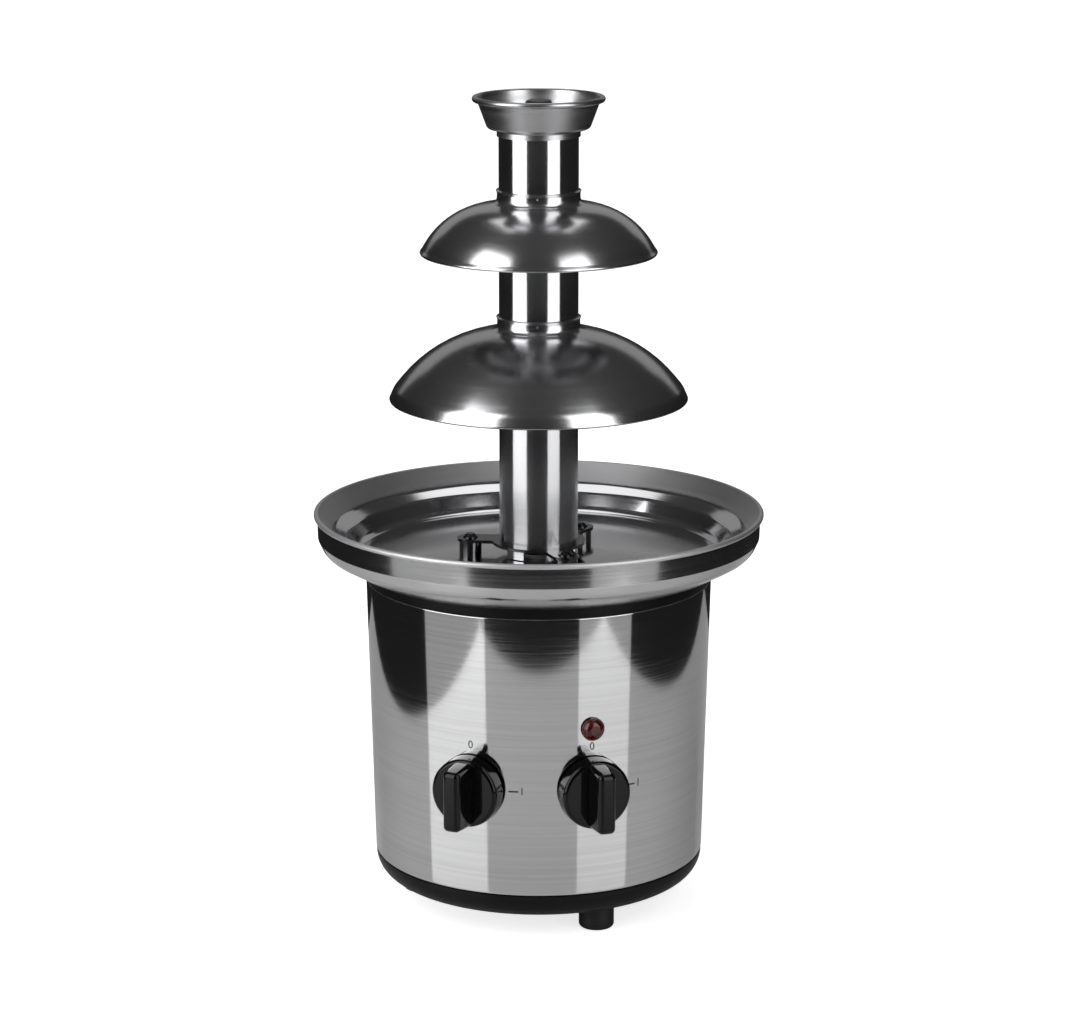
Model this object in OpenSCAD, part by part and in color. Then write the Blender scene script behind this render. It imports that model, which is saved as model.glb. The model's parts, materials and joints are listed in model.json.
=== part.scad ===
// Three-tier table-top chocolate fountain with a lift-off tower.
// Millimetres. Z is up, the front with the knobs faces -Y, and the origin lies on
// the tower's axis, on the table that the feet stand on.

/* [Base] */
// Clear height between the table and the base plate
stand_h = 12.5; // [8:0.5:16]
// Height of the base plate's rim, up to the shell
base_h = 12.3; // [12:0.1:24]
// Radius of the rounded lower edge of the base plate
base_edge_r = 11.5; // [4:0.5:12]
// Wall of the moulded base plate
base_t = 3; // [2:0.1:4]
// Diameter of a levelling foot
foot_d = 17; // [12:0.5:19]
// Radius of the circle on which the feet stand
foot_ring_r = 58.5; // [54:0.5:59.5]
// Angle of the first foot from the front
foot_turn = 31; // [0:1:119]

/* [Shell] */
// Height of the steel shell
shell_h = 137.1; // [120:0.1:180]
// Outside radius of the shell at its upper edge
shell_top_r = 83.9; // [81:0.1:88]
// Loss of the shell's radius from its upper to its lower edge
shell_taper = 3.5; // [0:0.1:6]
// Thickness of the steel sheet of shell, bowl, skirt, canopies and crown
sheet_t = 0.8; // [0.5:0.1:1.2]
// Width of the lips turned in at both ends of the shell
shell_lip_w = 8; // [5:0.5:10]
// Height of the black insulating ring under the bowl
ring_h = 5.6; // [4:0.1:9]

/* [Bowl] */
// Outside radius of the bowl's rolled rim
bowl_r = 108.9; // [104:0.1:116]
// Radius of the rolled bead of the bowl's rim
bowl_bead_r = 1.3; // [1:0.1:2]
// Height of the rim bead above the insulating ring
skirt_h = 26.1; // [24:0.1:32]
// Depth of the bowl from the rim bead to the floor
bowl_depth = 20.9; // [18:0.1:23]
// Width of the flared wall between the rim and the ledge
flare_w = 7.7; // [5:0.1:10]
// Width of the ledge in the bowl wall
ledge_w = 6.5; // [4:0.1:9]
// Width of the sloping wall between the ledge and the floor
step_w = 4.3; // [3:0.1:6]
// Height of the ledge's inner edge above the floor
ledge_in_h = 8.8; // [7:0.1:9.5]
// Height of the ledge's outer edge above the floor
ledge_out_h = 11.8; // [10.5:0.1:13]
// Distance of the skirt's crease inside the rim
crease_in = 2.8; // [2:0.1:4]
// Depth of the crease below the rim bead
crease_drop = 11.1; // [8:0.1:13]
// Distance of the skirt's bend inside the crease
bend_in = 1.7; // [1:0.1:3]
// Depth of the skirt's bend below the rim bead
bend_drop = 17; // [15:0.1:19]
// Reach of the skirt's heel beyond the shell's upper edge
heel_out = 3.6; // [2:0.1:6]

/* [Tower] */
// Outside diameter of the tower tube
tube_d = 38.1; // [34:0.1:42]
// Wall of the tower tube
tube_t = 0.8; // [0.6:0.1:1.2]
// Height of the intake windows at the tube's lower end
intake_h = 5.2; // [5:0.1:9]
// Angle that each intake window takes of the tube
intake_span = 90; // [60:1:96]
// Radius of the circle of the locating pegs
peg_ring_r = 33.5; // [32:0.1:38]
// Angle of the first locating peg from the front
peg_turn = 25; // [0:1:119]
// Diameter of a peg's shoulder
peg_d = 11; // [9:0.1:13]
// Height of a peg's shoulder above the bowl floor
peg_shoulder_h = 5.3; // [5:0.1:8]
// Diameter of the pin on a peg
peg_pin_d = 7; // [5:0.1:8]
// Thickness of the tower foot
ear_t = 1.5; // [1:0.1:2.5]

/* [Canopies] */
// Height of the lower canopy's collar above the bowl floor
lower_top_h = 116.8; // [105:0.1:125]
// Rim radius of the lower canopy
lower_rim_r = 71.4; // [66:0.1:80]
// Height of the lower canopy, collar to rim
lower_h = 39.4; // [36:0.1:44]
// Distance of the lower canopy's shoulder inside its rim
lower_shoulder_in = 20.8; // [16:0.1:26]
// Distance inside its rim at which the lower canopy's edge turns down
lower_edge_in = 1.3; // [0.5:0.1:3]
// Height of the turned-down edge of the lower canopy
lower_edge_h = 4.6; // [3:0.1:7]
// Rounding of the lower canopy's dome
lower_round = 70; // [30:1:90]
// Height of the upper canopy's collar above the bowl floor
upper_top_h = 177.5; // [170:0.1:186]
// Rim radius of the upper canopy
upper_rim_r = 56.2; // [52:0.1:64]
// Height of the upper canopy, collar to rim
upper_h = 29.2; // [26:0.1:34]
// Distance of the upper canopy's shoulder inside its rim
upper_shoulder_in = 10.3; // [8:0.1:15]
// Distance inside its rim at which the upper canopy's edge turns down
upper_edge_in = 0.2; // [0.1:0.1:2]
// Height of the turned-down edge of the upper canopy
upper_edge_h = 1.2; // [1:0.1:4]
// Rounding of the upper canopy's dome
upper_round = 41; // [20:1:60]
// Fall of a dome next to its collar, in degrees
dome_slope = 9.6; // [5:0.1:15]
// Rounding between a collar and its dome
neck_round = 6; // [3:0.1:9]
// Height of a collar above the corner of its neck
collar_h = 6; // [4:0.1:9]
// Radius of the hemmed edge of a canopy
hem_r = 0.7; // [0.6:0.1:1]

/* [Crown] */
// Outside radius of the crown's rolled lip
crown_r = 31.6; // [29:0.1:36]
// Radius of the bead of the crown's lip
crown_bead_r = 1.4; // [1:0.1:2]
// Height of the crown's cup, floor to lip bead
crown_h = 14.2; // [11:0.1:20]
// Radius of the crown's floor
crown_floor_r = 24.3; // [22.5:0.1:27]
// Length of the sleeve under the crown
sleeve_h = 3.4; // [2:0.1:8]
// Height of the tube's end above the crown's floor
tube_proud = 1.2; // [0.9:0.1:3]

/* [Auger] */
// Length of the auger
auger_h = 216.4; // [200:0.1:240]
// Height of the auger's end above the end of the tube
auger_proud = 12.25; // [4:0.05:14]
// Diameter of the auger's core
core_d = 12.8; // [10:0.1:14]
// Gap between the auger's flight and the tube
flight_gap = 0.75; // [0.5:0.05:1.2]
// Rise of the flight in one turn
flight_pitch = 27; // [20:0.5:36]
// Thickness of the flight
flight_t = 2.2; // [1.6:0.1:3]
// Diameter of the auger's hub
auger_hub_d = 18; // [16:0.1:22]
// Height of the auger's hub
auger_hub_h = 16; // [14:0.5:24]

/* [Drive] */
// Width across the flats of the drive coupling
dog_af = 10; // [9:0.1:12]
// Height of the drive coupling's hexagon
dog_h = 11; // [8:0.5:12]
// Diameter of the drive shaft
shaft_d = 6; // [5:0.1:7]
// Depth of the motor plate below the bowl floor
plate_drop = 42; // [38:0.5:50]
// Thickness of the motor plate
plate_t = 2; // [1.5:0.1:3]
// Diameter of the gearbox
gearbox_d = 50; // [46:0.5:54]
// Height of the gearbox
gearbox_h = 22; // [18:0.5:28]
// Diameter of the motor
motor_d = 44; // [38:0.5:48]
// Height of the motor
motor_h = 38; // [30:0.5:44]
// Diameter of stand-offs and pillars
pillar_d = 8; // [7:0.1:9]

/* [Heater] */
// Inner radius of the heater plate
heater_in_r = 44; // [42:0.5:46]
// Gap between the heater plate and the insulating ring
heater_out_gap = 3.7; // [2:0.1:6]
// Thickness of the heater plate
heater_t = 6; // [5:0.1:8]
// Diameter of the sheathed heating element
element_d = 6.4; // [5:0.1:8]
// Angle that the heating element takes of its ring
element_span = 310; // [270:1:320]

/* [Panel] */
// Angle of each knob from the front's middle line
knob_turn = 20.3; // [16:0.1:26]
// Height of the knobs' axes above the shell's lower edge
knob_rise = 52.5; // [45:0.1:70]
// Diameter of a knob
knob_d = 34; // [30:0.5:38]
// Depth of a knob's disc without its grip
knob_depth = 8; // [7:0.1:12]
// Height of the grip fin on a knob
fin_h = 15; // [10:0.5:18]
// Width of the grip fin at its foot
fin_w = 9; // [7:0.1:12]
// Diameter of a switch spindle
spindle_d = 6; // [5:0.1:6.5]
// Width and height of a switch body
switch_w = 24; // [20:0.5:26]
// Depth of a switch body
switch_depth = 20; // [16:0.5:24]
// Angle of the pilot lamp from the front's middle line
lamp_turn = 20.5; // [16:0.1:26]
// Height of the pilot lamp above the knobs' axes
lamp_rise = 30.4; // [27:0.1:40]
// Diameter of the pilot lamp's lens
lamp_d = 10; // [8:0.1:12]
// Bore of the mains inlet bush
inlet_d = 7.2; // [6:0.1:9]
// Height of the mains inlet above the shell's lower edge
inlet_rise = 16; // [14:0.5:40]

/* [Hidden] */
$fn = 96;
// Degrees that one step of a rounded profile corner takes
arc_step = 7;
// Share of a straight side that its roundings may take
round_share = 0.98;
// Clearance of fixed pieces that sit in or on each other
fit_gap = 0.05;
// Radial clearance of turning shafts and spindles
run_gap = 0.05;
// Clearance of pieces that lift off
lift_gap = 0.3;
// Play between flat faces that rest on each other across a joint
seat_gap = 0.05;
// Extra length of a cutter beyond the faces it cuts
over = 1;

// Levels, stacked up from the table
z_base = stand_h;
z_base_in = z_base + base_t;
z_shell = z_base + base_h;
z_ring = z_shell + shell_h;
z_skirt = z_ring + ring_h;
z_rim = z_skirt + skirt_h;
z_floor = z_rim - bowl_depth;
z_under = z_floor - sheet_t;
z_plate = z_floor - plate_drop;
z_knob = z_shell + knob_rise;
z_lamp = z_knob + lamp_rise;
z_inlet = z_shell + inlet_rise;

// Width of the skirt's flat foot on the insulating ring
skirt_foot_w = 5;
// Step of a spigot or rim behind the sheet edge next to it
edge_gap = 0.2;
shell_bottom_r = shell_top_r - shell_taper;
base_r = shell_bottom_r - edge_gap;
// Wall of a rib that stands inside the shell's lower lip
rib_t = 2;
foot_boss_r = 9;
insert_r = 5;
insert_h = 9;
foot_stud_d = 6;
// Gap between a foot's pad and the base plate
pad_gap = 0.4;

tube_r = tube_d / 2;
collar_r = tube_r + fit_gap + sheet_t;
// Radii of the bowl and its skirt, stepped in from the rim
wall_top_r = bowl_r - bowl_bead_r - sheet_t / 2;
ledge_out_r = wall_top_r - flare_w;
ledge_in_r = ledge_out_r - ledge_w;
floor_r = ledge_in_r - step_w;
crease_r = bowl_r - crease_in;
bend_r = crease_r - bend_in;
heel_r = shell_top_r + heel_out;
// Direction of the bowl's flared wall, and the height of its rim bead's centre
flare = [flare_w, bowl_depth - ledge_out_h];
bead_z = z_rim - sheet_t / 2 * flare[0] / norm(flare);
// Height of the tube's lower edge over the bowl floor
tube_lift = 0.4;
z_tube = z_floor + tube_lift;
z_ear = z_floor + peg_shoulder_h + seat_gap;
// Width of the tower foot's ring and of its ears round the pegs
ear_ring_w = 3.5;
ear_margin = 1;
ear_r = peg_d / 2 + ear_margin;
ear_hole_d = peg_pin_d + 2 * lift_gap;
ear_ring_r = tube_r + fit_gap + ear_ring_w;
peg_pin_h = 3.5;
peg_stud_d = 5;

hub_flange_r = 12;
hub_flange_t = 1.6;
hub_r = 8.5;
hub_h = 20;
gasket_t = 1;
bush_r = 5.5;
seal_h = 4;
// Gap between the hub's flange and the coupling that turns above it
dog_gap = 0.8;
dog_flange_t = 1.2;
dog_flange_r = 8;
pin_d = 2;
pin_inset = 0.3;
z_dog = z_floor + hub_flange_t + dog_gap;
z_auger = z_dog + dog_flange_t + seat_gap;
// The tube ends a set distance below the auger's end
z_tube_top = z_auger + auger_h - auger_proud;
tube_h = z_tube_top - z_tube;
flight_r = tube_r - tube_t - flight_gap;
core_r = core_d / 2;
shaft_r = shaft_d / 2;

pillar_r = pillar_d / 2;
stud_d = 4;
stud_reach = 10;
// Core diameter of the screws that enter the pillars
pillar_screw_d = 3;
screw_head_r = 3.8;
screw_head_h = 2.4;
// Gearbox: wall below the shaft's end, boss round the shaft, inset of its screws
gearbox_floor_t = 6;
gearbox_boss_t = 5;
gearbox_boss_r = shaft_r + gearbox_boss_t;
gearbox_boss_h = 3;
motor_screw_d = 3;
motor_screw_inset = 7;
motor_screw_ring_r = gearbox_d / 2 - motor_screw_inset;
shaft_in_box = gearbox_h - gearbox_floor_t;
z_gearbox = z_plate - plate_t - gearbox_h;
z_shaft = z_gearbox + gearbox_floor_t;

// Spigot of the insulating ring, and the heater plate inside it
spigot_r = shell_top_r - shell_lip_w - edge_gap;
heater_out_r = spigot_r - rib_t - heater_out_gap;
element_ring_r = (heater_in_r + heater_out_r) / 2;
z_heater = z_under - heater_t;
// Length of the blade terminals
blade_h = 7;

// Distances from the axis, outwards through the shell at a knob
knob_r = knob_d / 2;
knob_gap = 1.2;
knob_wall = 1.8;
knob_face_t = 2;
// Reach of a spindle into the grip, past the knob's disc
grip_reach = 5;
neck_d = 10;
// Gap that lets a flat seat clear the curved sheet
curve_gap = 0.4;
// Widths of a switch's collar and of its nut round the threaded neck
switch_collar_w = 3;
switch_collar_r = neck_d / 2 + switch_collar_w;
switch_collar_h = 1.5;
switch_nut_t = 2.5;
switch_nut_w = 2;
switch_nut_af = neck_d + 2 * switch_nut_w;
spindle_r = spindle_d / 2;
spindle_flat = 0.8;
spindle_end_gap = 0.5;
panel_r = shell_bottom_r + (shell_top_r - shell_bottom_r) * knob_rise / shell_h;
panel_in_r = panel_r - sheet_t;
switch_seat = sqrt(panel_in_r ^ 2 - switch_collar_r ^ 2) - curve_gap / 2;
switch_front = switch_seat - switch_collar_h;
knob_back = panel_r + knob_gap;
neck_end = panel_r + curve_gap + switch_nut_t;
spindle_end = knob_back + knob_depth + grip_reach;
spindle_start = switch_front - switch_depth / 2;

lamp_neck_r = lamp_d / 2 - 0.5;
inlet_neck_r = inlet_d / 2 + 2.8;

// Plane geometry of the profiles

function unit(v) = v / norm(v);
function left_of(v) = [-v[1], v[0]];
function turn_of(a, b) = a[0] * b[1] - a[1] * b[0];
function spun_by(v, a) = [v[0] * cos(a) - v[1] * sin(a), v[0] * sin(a) + v[1] * cos(a)];
function flat(p) = [p[0], p[1]];
function backwards(list) = [for (i = [len(list) - 1:-1:0]) list[i]];

// Half the angle inside corner i of a path of [radius, height, rounding]
function half_angle(path, i) =
    let (q = flat(path[i]))
    acos(unit(flat(path[i - 1]) - q) * unit(flat(path[i + 1]) - q)) / 2;

// Length that the rounding of corner i takes of both its sides
function round_reach(path, i) =
    i == 0 || i == len(path) - 1 || path[i][2] == 0 ? 0 : path[i][2] / tan(half_angle(path, i));

// Share of the roundings that side i has room for
function side_room(path, i) =
    let (want = round_reach(path, i) + round_reach(path, i + 1))
    want == 0 ? 1 : min(1, round_share * norm(flat(path[i + 1]) - flat(path[i])) / want);

// The points of corner i, as an arc where it is rounded
function corner(path, i) =
    round_reach(path, i) == 0 ? [flat(path[i])] :
    let (
        q = flat(path[i]),
        before = unit(q - flat(path[i - 1])),
        after = unit(flat(path[i + 1]) - q),
        half = half_angle(path, i),
        reach = round_reach(path, i) * min(side_room(path, i - 1), side_room(path, i)),
        side = sign(turn_of(before, after)),
        start = q - before * reach,
        centre = start + left_of(before) * side * reach * tan(half),
        sweep = 180 - 2 * half,
        steps = max(2, ceil(sweep / arc_step))
    )
    [for (k = [0:steps]) centre + spun_by(start - centre, side * sweep * k / steps)];

// A path with its corners rounded
function rounded(path) = [for (i = [0:len(path) - 1]) each corner(path, i)];

// The path at a distance to its left, or to its right where the distance is negative
function beside(path, distance) = [
    for (i = [0:len(path) - 1])
        let (
            before = unit(path[max(i, 1)] - path[max(i, 1) - 1]),
            after = i < len(path) - 1 ? unit(path[i + 1] - path[i]) : before,
            middle = unit(before + after)
        )
        path[i] + left_of(middle) * distance / (middle * before)
];

// A spun sheet with one face along the path, and a bead rolled at the path's end
module spun(path, thickness, bead_r = 0) {
    face = rounded(path);
    back = beside(face, thickness);
    last = len(face) - 1;
    union() {
        rotate_extrude() polygon(concat(face, backwards(back)));
        if (bead_r > 0)
            rotate_extrude() translate((face[last] + back[last]) / 2) circle(bead_r);
    }
}

// Copies its children three times round the axis, from an angle off the front
module three_round(turn, ring_r) {
    for (i = [0:2]) one_round(turn, ring_r, i) children();
}

module one_round(turn, ring_r, i) {
    rotate(turn + 120 * i) translate([0, -ring_r, 0]) children();
}

// Turns Z outwards through the shell at an angle off the front
module on_panel(turn, height) {
    translate([0, 0, height]) rotate(turn) rotate([90, 0, 0]) children();
}

// Outside radius of the tapered shell at a height
function shell_r(z) = shell_bottom_r + (shell_top_r - shell_bottom_r) * (z - z_shell) / shell_h;

// A hexagonal prism of a width across its flats
module hexagon(af, h) {
    cylinder(d = af / cos(30), h = h, $fn = 6);
}

// A pan-head screw that points up, with the top of its shank at a height over its head's seat
module pan_screw(d, reach, head_r, head_h) {
    crown_r = head_r - head_h / 3;
    socket_af = d * 2 / 3;
    cylinder(d = d, h = reach);
    difference() {
        translate([0, 0, -head_h]) cylinder(r1 = crown_r, r2 = head_r, h = head_h);
        translate([0, 0, -head_h - over]) hexagon(socket_af, over + head_h / 2);
    }
}

// Tower

// Rounding above a canopy's turned-down edge, in heights of that edge
edge_roundness = 3;

// Outer face of a canopy from its collar down to its rim
function canopy_path(top, rim_r, height, shoulder_in, edge_in, edge_h, dome_round) =
    let (shoulder_r = rim_r - shoulder_in) [
    [collar_r, top, 0],
    [collar_r, top - collar_h, neck_round],
    [shoulder_r, top - collar_h - (shoulder_r - collar_r) * tan(dome_slope), dome_round],
    [rim_r - edge_in, top - height + edge_h, edge_roundness * edge_h],
    [rim_r, top - height, 0]
];

// Three shallow spot-weld dimples round a sleeve or collar
module weld_dimples(z) {
    dimple_r = 3;
    dimple_depth = 0.3;
    dimple_turn = 3;
    three_round(dimple_turn, collar_r + dimple_r - dimple_depth)
        translate([0, 0, z]) sphere(dimple_r);
}

module crown() {
    floor_z = z_tube_top - tube_proud;
    lip_z = floor_z + crown_h;
    sleeve_round = 1;
    cup_round = 2.5;
    color("gainsboro") difference() {
        spun([
            [collar_r, floor_z - sleeve_h, 0],
            [collar_r, floor_z, sleeve_round],
            [crown_floor_r, floor_z, cup_round],
            [crown_r - crown_bead_r + sheet_t / 2, lip_z, 0]
        ], sheet_t, crown_bead_r);
        weld_dimples(floor_z - sleeve_h / 2);
    }
}

module upper_canopy() {
    top = z_floor + upper_top_h;
    color("gainsboro") difference() {
        spun(canopy_path(top, upper_rim_r, upper_h, upper_shoulder_in,
                         upper_edge_in, upper_edge_h, upper_round), -sheet_t, hem_r);
        weld_dimples(top - collar_h / 3);
    }
}

module lower_canopy() {
    top = z_floor + lower_top_h;
    color("gainsboro") difference() {
        spun(canopy_path(top, lower_rim_r, lower_h, lower_shoulder_in,
                         lower_edge_in, lower_edge_h, lower_round), -sheet_t, hem_r);
        weld_dimples(top - collar_h / 3);
    }
}

module tower_tube() {
    window_r = tube_d;
    half = intake_span / 2;
    color("gainsboro") translate([0, 0, z_tube]) difference() {
        cylinder(r = tube_r, h = tube_h);
        translate([0, 0, -over]) cylinder(r = tube_r - tube_t, h = tube_h + 2 * over);
        for (i = [0:2])
            rotate(peg_turn + 120 * i) translate([0, 0, -over]) linear_extrude(intake_h + over)
                polygon([
                    [0, 0],
                    window_r * [-sin(half), -cos(half)],
                    window_r * [0, -1],
                    window_r * [sin(half), -cos(half)]
                ]);
    }
}

module tower_foot() {
    color("gainsboro") translate([0, 0, z_ear]) linear_extrude(ear_t) difference() {
        union() {
            circle(ear_ring_r);
            three_round(peg_turn, peg_ring_r) {
                circle(ear_r);
                translate([-ear_r, 0]) square([2 * ear_r, peg_ring_r - tube_r]);
            }
        }
        circle(tube_r + fit_gap);
        three_round(peg_turn, peg_ring_r) circle(d = ear_hole_d);
    }
}

// Auger and drive

// One helical flight, rooted inside the core: a section of four points swept up the helix
module flight(height) {
    root_depth = 0.8;
    root_r = core_r - root_depth;
    rings_per_turn = 24;
    turns = (height - flight_t) / flight_pitch;
    rings = ceil(rings_per_turn * turns);
    section = [[root_r, 0], [flight_r, 0], [flight_r, flight_t], [root_r, flight_t]];
    points = [
        for (i = [0:rings], p = section)
            let (a = 360 * turns * i / rings)
            [p[0] * cos(a), p[0] * sin(a), p[1] + (height - flight_t) * i / rings]
    ];
    sides = [
        for (i = [0:rings - 1], k = [0:3])
            let (a = 4 * i + k, b = 4 * i + (k + 1) % 4)
            each [[a, b, a + 4], [b, b + 4, a + 4]]
    ];
    last = 4 * rings;
    ends = [[0, 2, 1], [0, 3, 2], [last, last + 1, last + 2], [last, last + 2, last + 3]];
    polyhedron(points, concat(sides, ends));
}

module auger() {
    tip_h = 1.5;
    color("#26211f") translate([0, 0, z_auger]) difference() {
        union() {
            cylinder(r = core_r, h = auger_h - tip_h);
            translate([0, 0, auger_h - tip_h]) cylinder(r1 = core_r, r2 = core_r - tip_h, h = tip_h);
            cylinder(d = auger_hub_d, h = auger_hub_h);
            flight(auger_h - tip_h);
        }
        translate([0, 0, -over]) hexagon(dog_af + 2 * lift_gap, dog_h + 2 * over);
    }
}

// The round of the cross pin, or of the hole for it, through two flats of the coupling
module cross_pin(d, length) {
    translate([0, 0, z_dog + dog_flange_t + dog_h / 2]) rotate([90, 0, 0])
        cylinder(d = d, h = length, center = true);
}

module pin_hole() {
    cross_pin(pin_d + 2 * fit_gap, dog_af + 2 * over);
}

module drive_coupling() {
    color("silver") difference() {
        translate([0, 0, z_dog]) union() {
            cylinder(r = dog_flange_r, h = dog_flange_t);
            hexagon(dog_af, dog_flange_t + dog_h);
        }
        translate([0, 0, z_dog - over])
            cylinder(r = shaft_r + fit_gap, h = dog_flange_t + dog_h + 2 * over);
        pin_hole();
    }
}

module coupling_pin() {
    color("dimgray") cross_pin(pin_d, dog_af - 2 * pin_inset);
}

module drive_shaft() {
    color("silver") difference() {
        translate([0, 0, z_shaft]) cylinder(r = shaft_r, h = z_dog + dog_flange_t + dog_h - z_shaft);
        pin_hole();
    }
}

// Bowl and housing

module bowl() {
    floor_round = 5;
    ledge_in_round = 3;
    ledge_out_round = 4;
    color("gainsboro") difference() {
        spun([
            [hub_r + fit_gap, z_floor, 0],
            [floor_r, z_floor, floor_round],
            [ledge_in_r, z_floor + ledge_in_h, ledge_in_round],
            [ledge_out_r, z_floor + ledge_out_h, ledge_out_round],
            [wall_top_r, z_rim, 0]
        ], -sheet_t, bowl_bead_r);
        three_round(peg_turn, peg_ring_r)
            translate([0, 0, z_under - over])
                cylinder(d = peg_stud_d + 2 * fit_gap, h = sheet_t + 2 * over);
    }
}

module bowl_skirt() {
    bend_round = 8;
    heel_round = 10;
    color("gainsboro") spun([
        [wall_top_r + sheet_t, bead_z - bowl_bead_r - edge_gap, 0],
        [crease_r, z_rim - crease_drop, 0],
        [bend_r, z_rim - bend_drop, bend_round],
        [heel_r, z_skirt, heel_round],
        [shell_top_r - skirt_foot_w, z_skirt, 0]
    ], -sheet_t);
}

module locating_pegs() {
    stud_h = stud_reach + sheet_t;
    chamfer = 1.5;
    pin_r = peg_pin_d / 2;
    color("silver") three_round(peg_turn, peg_ring_r) translate([0, 0, z_floor]) {
        cylinder(d = peg_d, h = peg_shoulder_h);
        cylinder(r = pin_r, h = peg_shoulder_h + peg_pin_h - chamfer);
        translate([0, 0, peg_shoulder_h + peg_pin_h - chamfer])
            cylinder(r1 = pin_r, r2 = pin_r - chamfer, h = chamfer);
        translate([0, 0, -stud_h]) cylinder(d = peg_stud_d, h = stud_h + over);
    }
}

module insulating_ring() {
    set_back = 0.5;
    spigot_h = 2.5;
    out_r = shell_top_r - set_back;
    skirt_r = shell_top_r - skirt_foot_w - edge_gap;
    in_r = spigot_r - rib_t;
    color("#1b1b1d") rotate_extrude() polygon([
        [in_r, z_ring - spigot_h],
        [spigot_r, z_ring - spigot_h],
        [spigot_r, z_ring],
        [out_r, z_ring],
        [out_r, z_skirt],
        [skirt_r, z_skirt],
        [skirt_r, z_skirt + sheet_t],
        [in_r, z_skirt + sheet_t]
    ]);
}

module body_shell() {
    bottom_round = 1.6;
    top_round = 1.2;
    color("silver") difference() {
        spun([
            [shell_bottom_r - shell_lip_w, z_shell, 0],
            [shell_bottom_r, z_shell, bottom_round],
            [shell_top_r, z_ring, top_round],
            [shell_top_r - shell_lip_w, z_ring, 0]
        ], sheet_t);
        for (side = [-1, 1])
            on_panel(side * knob_turn, z_knob) cylinder(d = neck_d + 2 * fit_gap, h = 2 * shell_top_r);
        on_panel(lamp_turn, z_lamp) cylinder(r = lamp_neck_r + fit_gap, h = 2 * shell_top_r);
        on_panel(180, z_inlet) cylinder(r = inlet_neck_r + fit_gap, h = 2 * shell_top_r);
    }
}

module base_plate() {
    rib_r = shell_bottom_r - shell_lip_w - edge_gap;
    inner_round = max(base_edge_r - base_t, 1);
    head_gap = 0.4;
    rib_h = base_h - base_t + sheet_t;
    outer = rounded([[0, z_base, 0], [base_r, z_base, base_edge_r], [base_r, z_shell, 0]]);
    inner = rounded([
        [base_r - base_t, z_shell, 0],
        [base_r - base_t, z_base_in, inner_round],
        [0, z_base_in, 0]
    ]);
    slot_w = 3;
    slot_in_r = 9;
    slot_out_r = 24;
    slot_count = 12;
    color("#1b1b1d") difference() {
        union() {
            rotate_extrude() polygon(concat(outer, inner));
            translate([0, 0, z_base_in - base_t / 2]) difference() {
                cylinder(r = rib_r, h = rib_h + base_t / 2);
                translate([0, 0, -over]) cylinder(r = rib_r - rib_t, h = rib_h + base_t + over);
            }
            three_round(foot_turn, foot_ring_r)
                translate([0, 0, z_base + base_t / 2]) cylinder(r = foot_boss_r, h = insert_h + base_t / 2);
        }
        three_round(foot_turn, foot_ring_r) {
            translate([0, 0, z_base - over])
                cylinder(d = foot_stud_d + 1, h = insert_h + base_t + 2 * over);
            translate([0, 0, z_base_in]) cylinder(r = insert_r + fit_gap, h = insert_h + over);
        }
        three_round(peg_turn, peg_ring_r) translate([0, 0, z_base - over]) {
            cylinder(d = stud_d + 2 * fit_gap, h = base_t + 2 * over);
            cylinder(r = screw_head_r + head_gap, h = over + base_t / 2);
        }
        for (i = [0:slot_count - 1])
            rotate(i * 360 / slot_count)
                translate([slot_in_r, -slot_w / 2, z_base - over])
                    cube([slot_out_r - slot_in_r, slot_w, base_t + 2 * over]);
    }
}

// A levelling foot: a rubber-tyred pad on a threaded stud
module foot(i) {
    pad_h = stand_h - pad_gap;
    pad_r = foot_d / 2;
    lower_edge_r = 2;
    upper_edge_r = 0.6;
    stud_h = insert_h + base_t;
    color("#1b1b1d") one_round(foot_turn, foot_ring_r, i) union() {
        rotate_extrude() polygon(rounded([
            [0, 0, 0],
            [pad_r, 0, lower_edge_r],
            [pad_r, pad_h, upper_edge_r],
            [0, pad_h, 0]
        ]));
        translate([0, 0, pad_h - over]) cylinder(d = foot_stud_d, h = stud_h + over);
    }
}

module foot_1() { foot(0); }
module foot_2() { foot(1); }
module foot_3() { foot(2); }

module foot_inserts() {
    color("goldenrod") three_round(foot_turn, foot_ring_r) translate([0, 0, z_base_in]) difference() {
        cylinder(r = insert_r, h = insert_h);
        translate([0, 0, -over]) cylinder(d = foot_stud_d + 2 * run_gap, h = insert_h + 2 * over);
    }
}

// Shaft passage through the bowl floor

module shaft_hub() {
    color("silver") difference() {
        union() {
            translate([0, 0, z_floor]) cylinder(r = hub_flange_r, h = hub_flange_t);
            translate([0, 0, z_floor - hub_h]) cylinder(r = hub_r, h = hub_h + hub_flange_t / 2);
        }
        translate([0, 0, z_floor - hub_h - over])
            cylinder(r = bush_r + fit_gap, h = hub_h + hub_flange_t + 2 * over);
    }
}

module hub_gasket() {
    color("#7a2f22") translate([0, 0, z_under - gasket_t]) difference() {
        cylinder(r = hub_flange_r, h = gasket_t);
        translate([0, 0, -over]) cylinder(r = hub_r + fit_gap, h = gasket_t + 2 * over);
    }
}

module hub_nut() {
    nut_af = 24;
    nut_h = 5;
    color("goldenrod") translate([0, 0, z_under - gasket_t - nut_h]) difference() {
        hexagon(nut_af, nut_h);
        translate([0, 0, -over]) cylinder(r = hub_r + fit_gap, h = nut_h + 2 * over);
    }
}

module bearing_bush() {
    color("goldenrod") translate([0, 0, z_floor - hub_h]) difference() {
        cylinder(r = bush_r, h = hub_h - seal_h);
        translate([0, 0, -over]) cylinder(r = shaft_r + run_gap, h = hub_h);
    }
}

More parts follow.
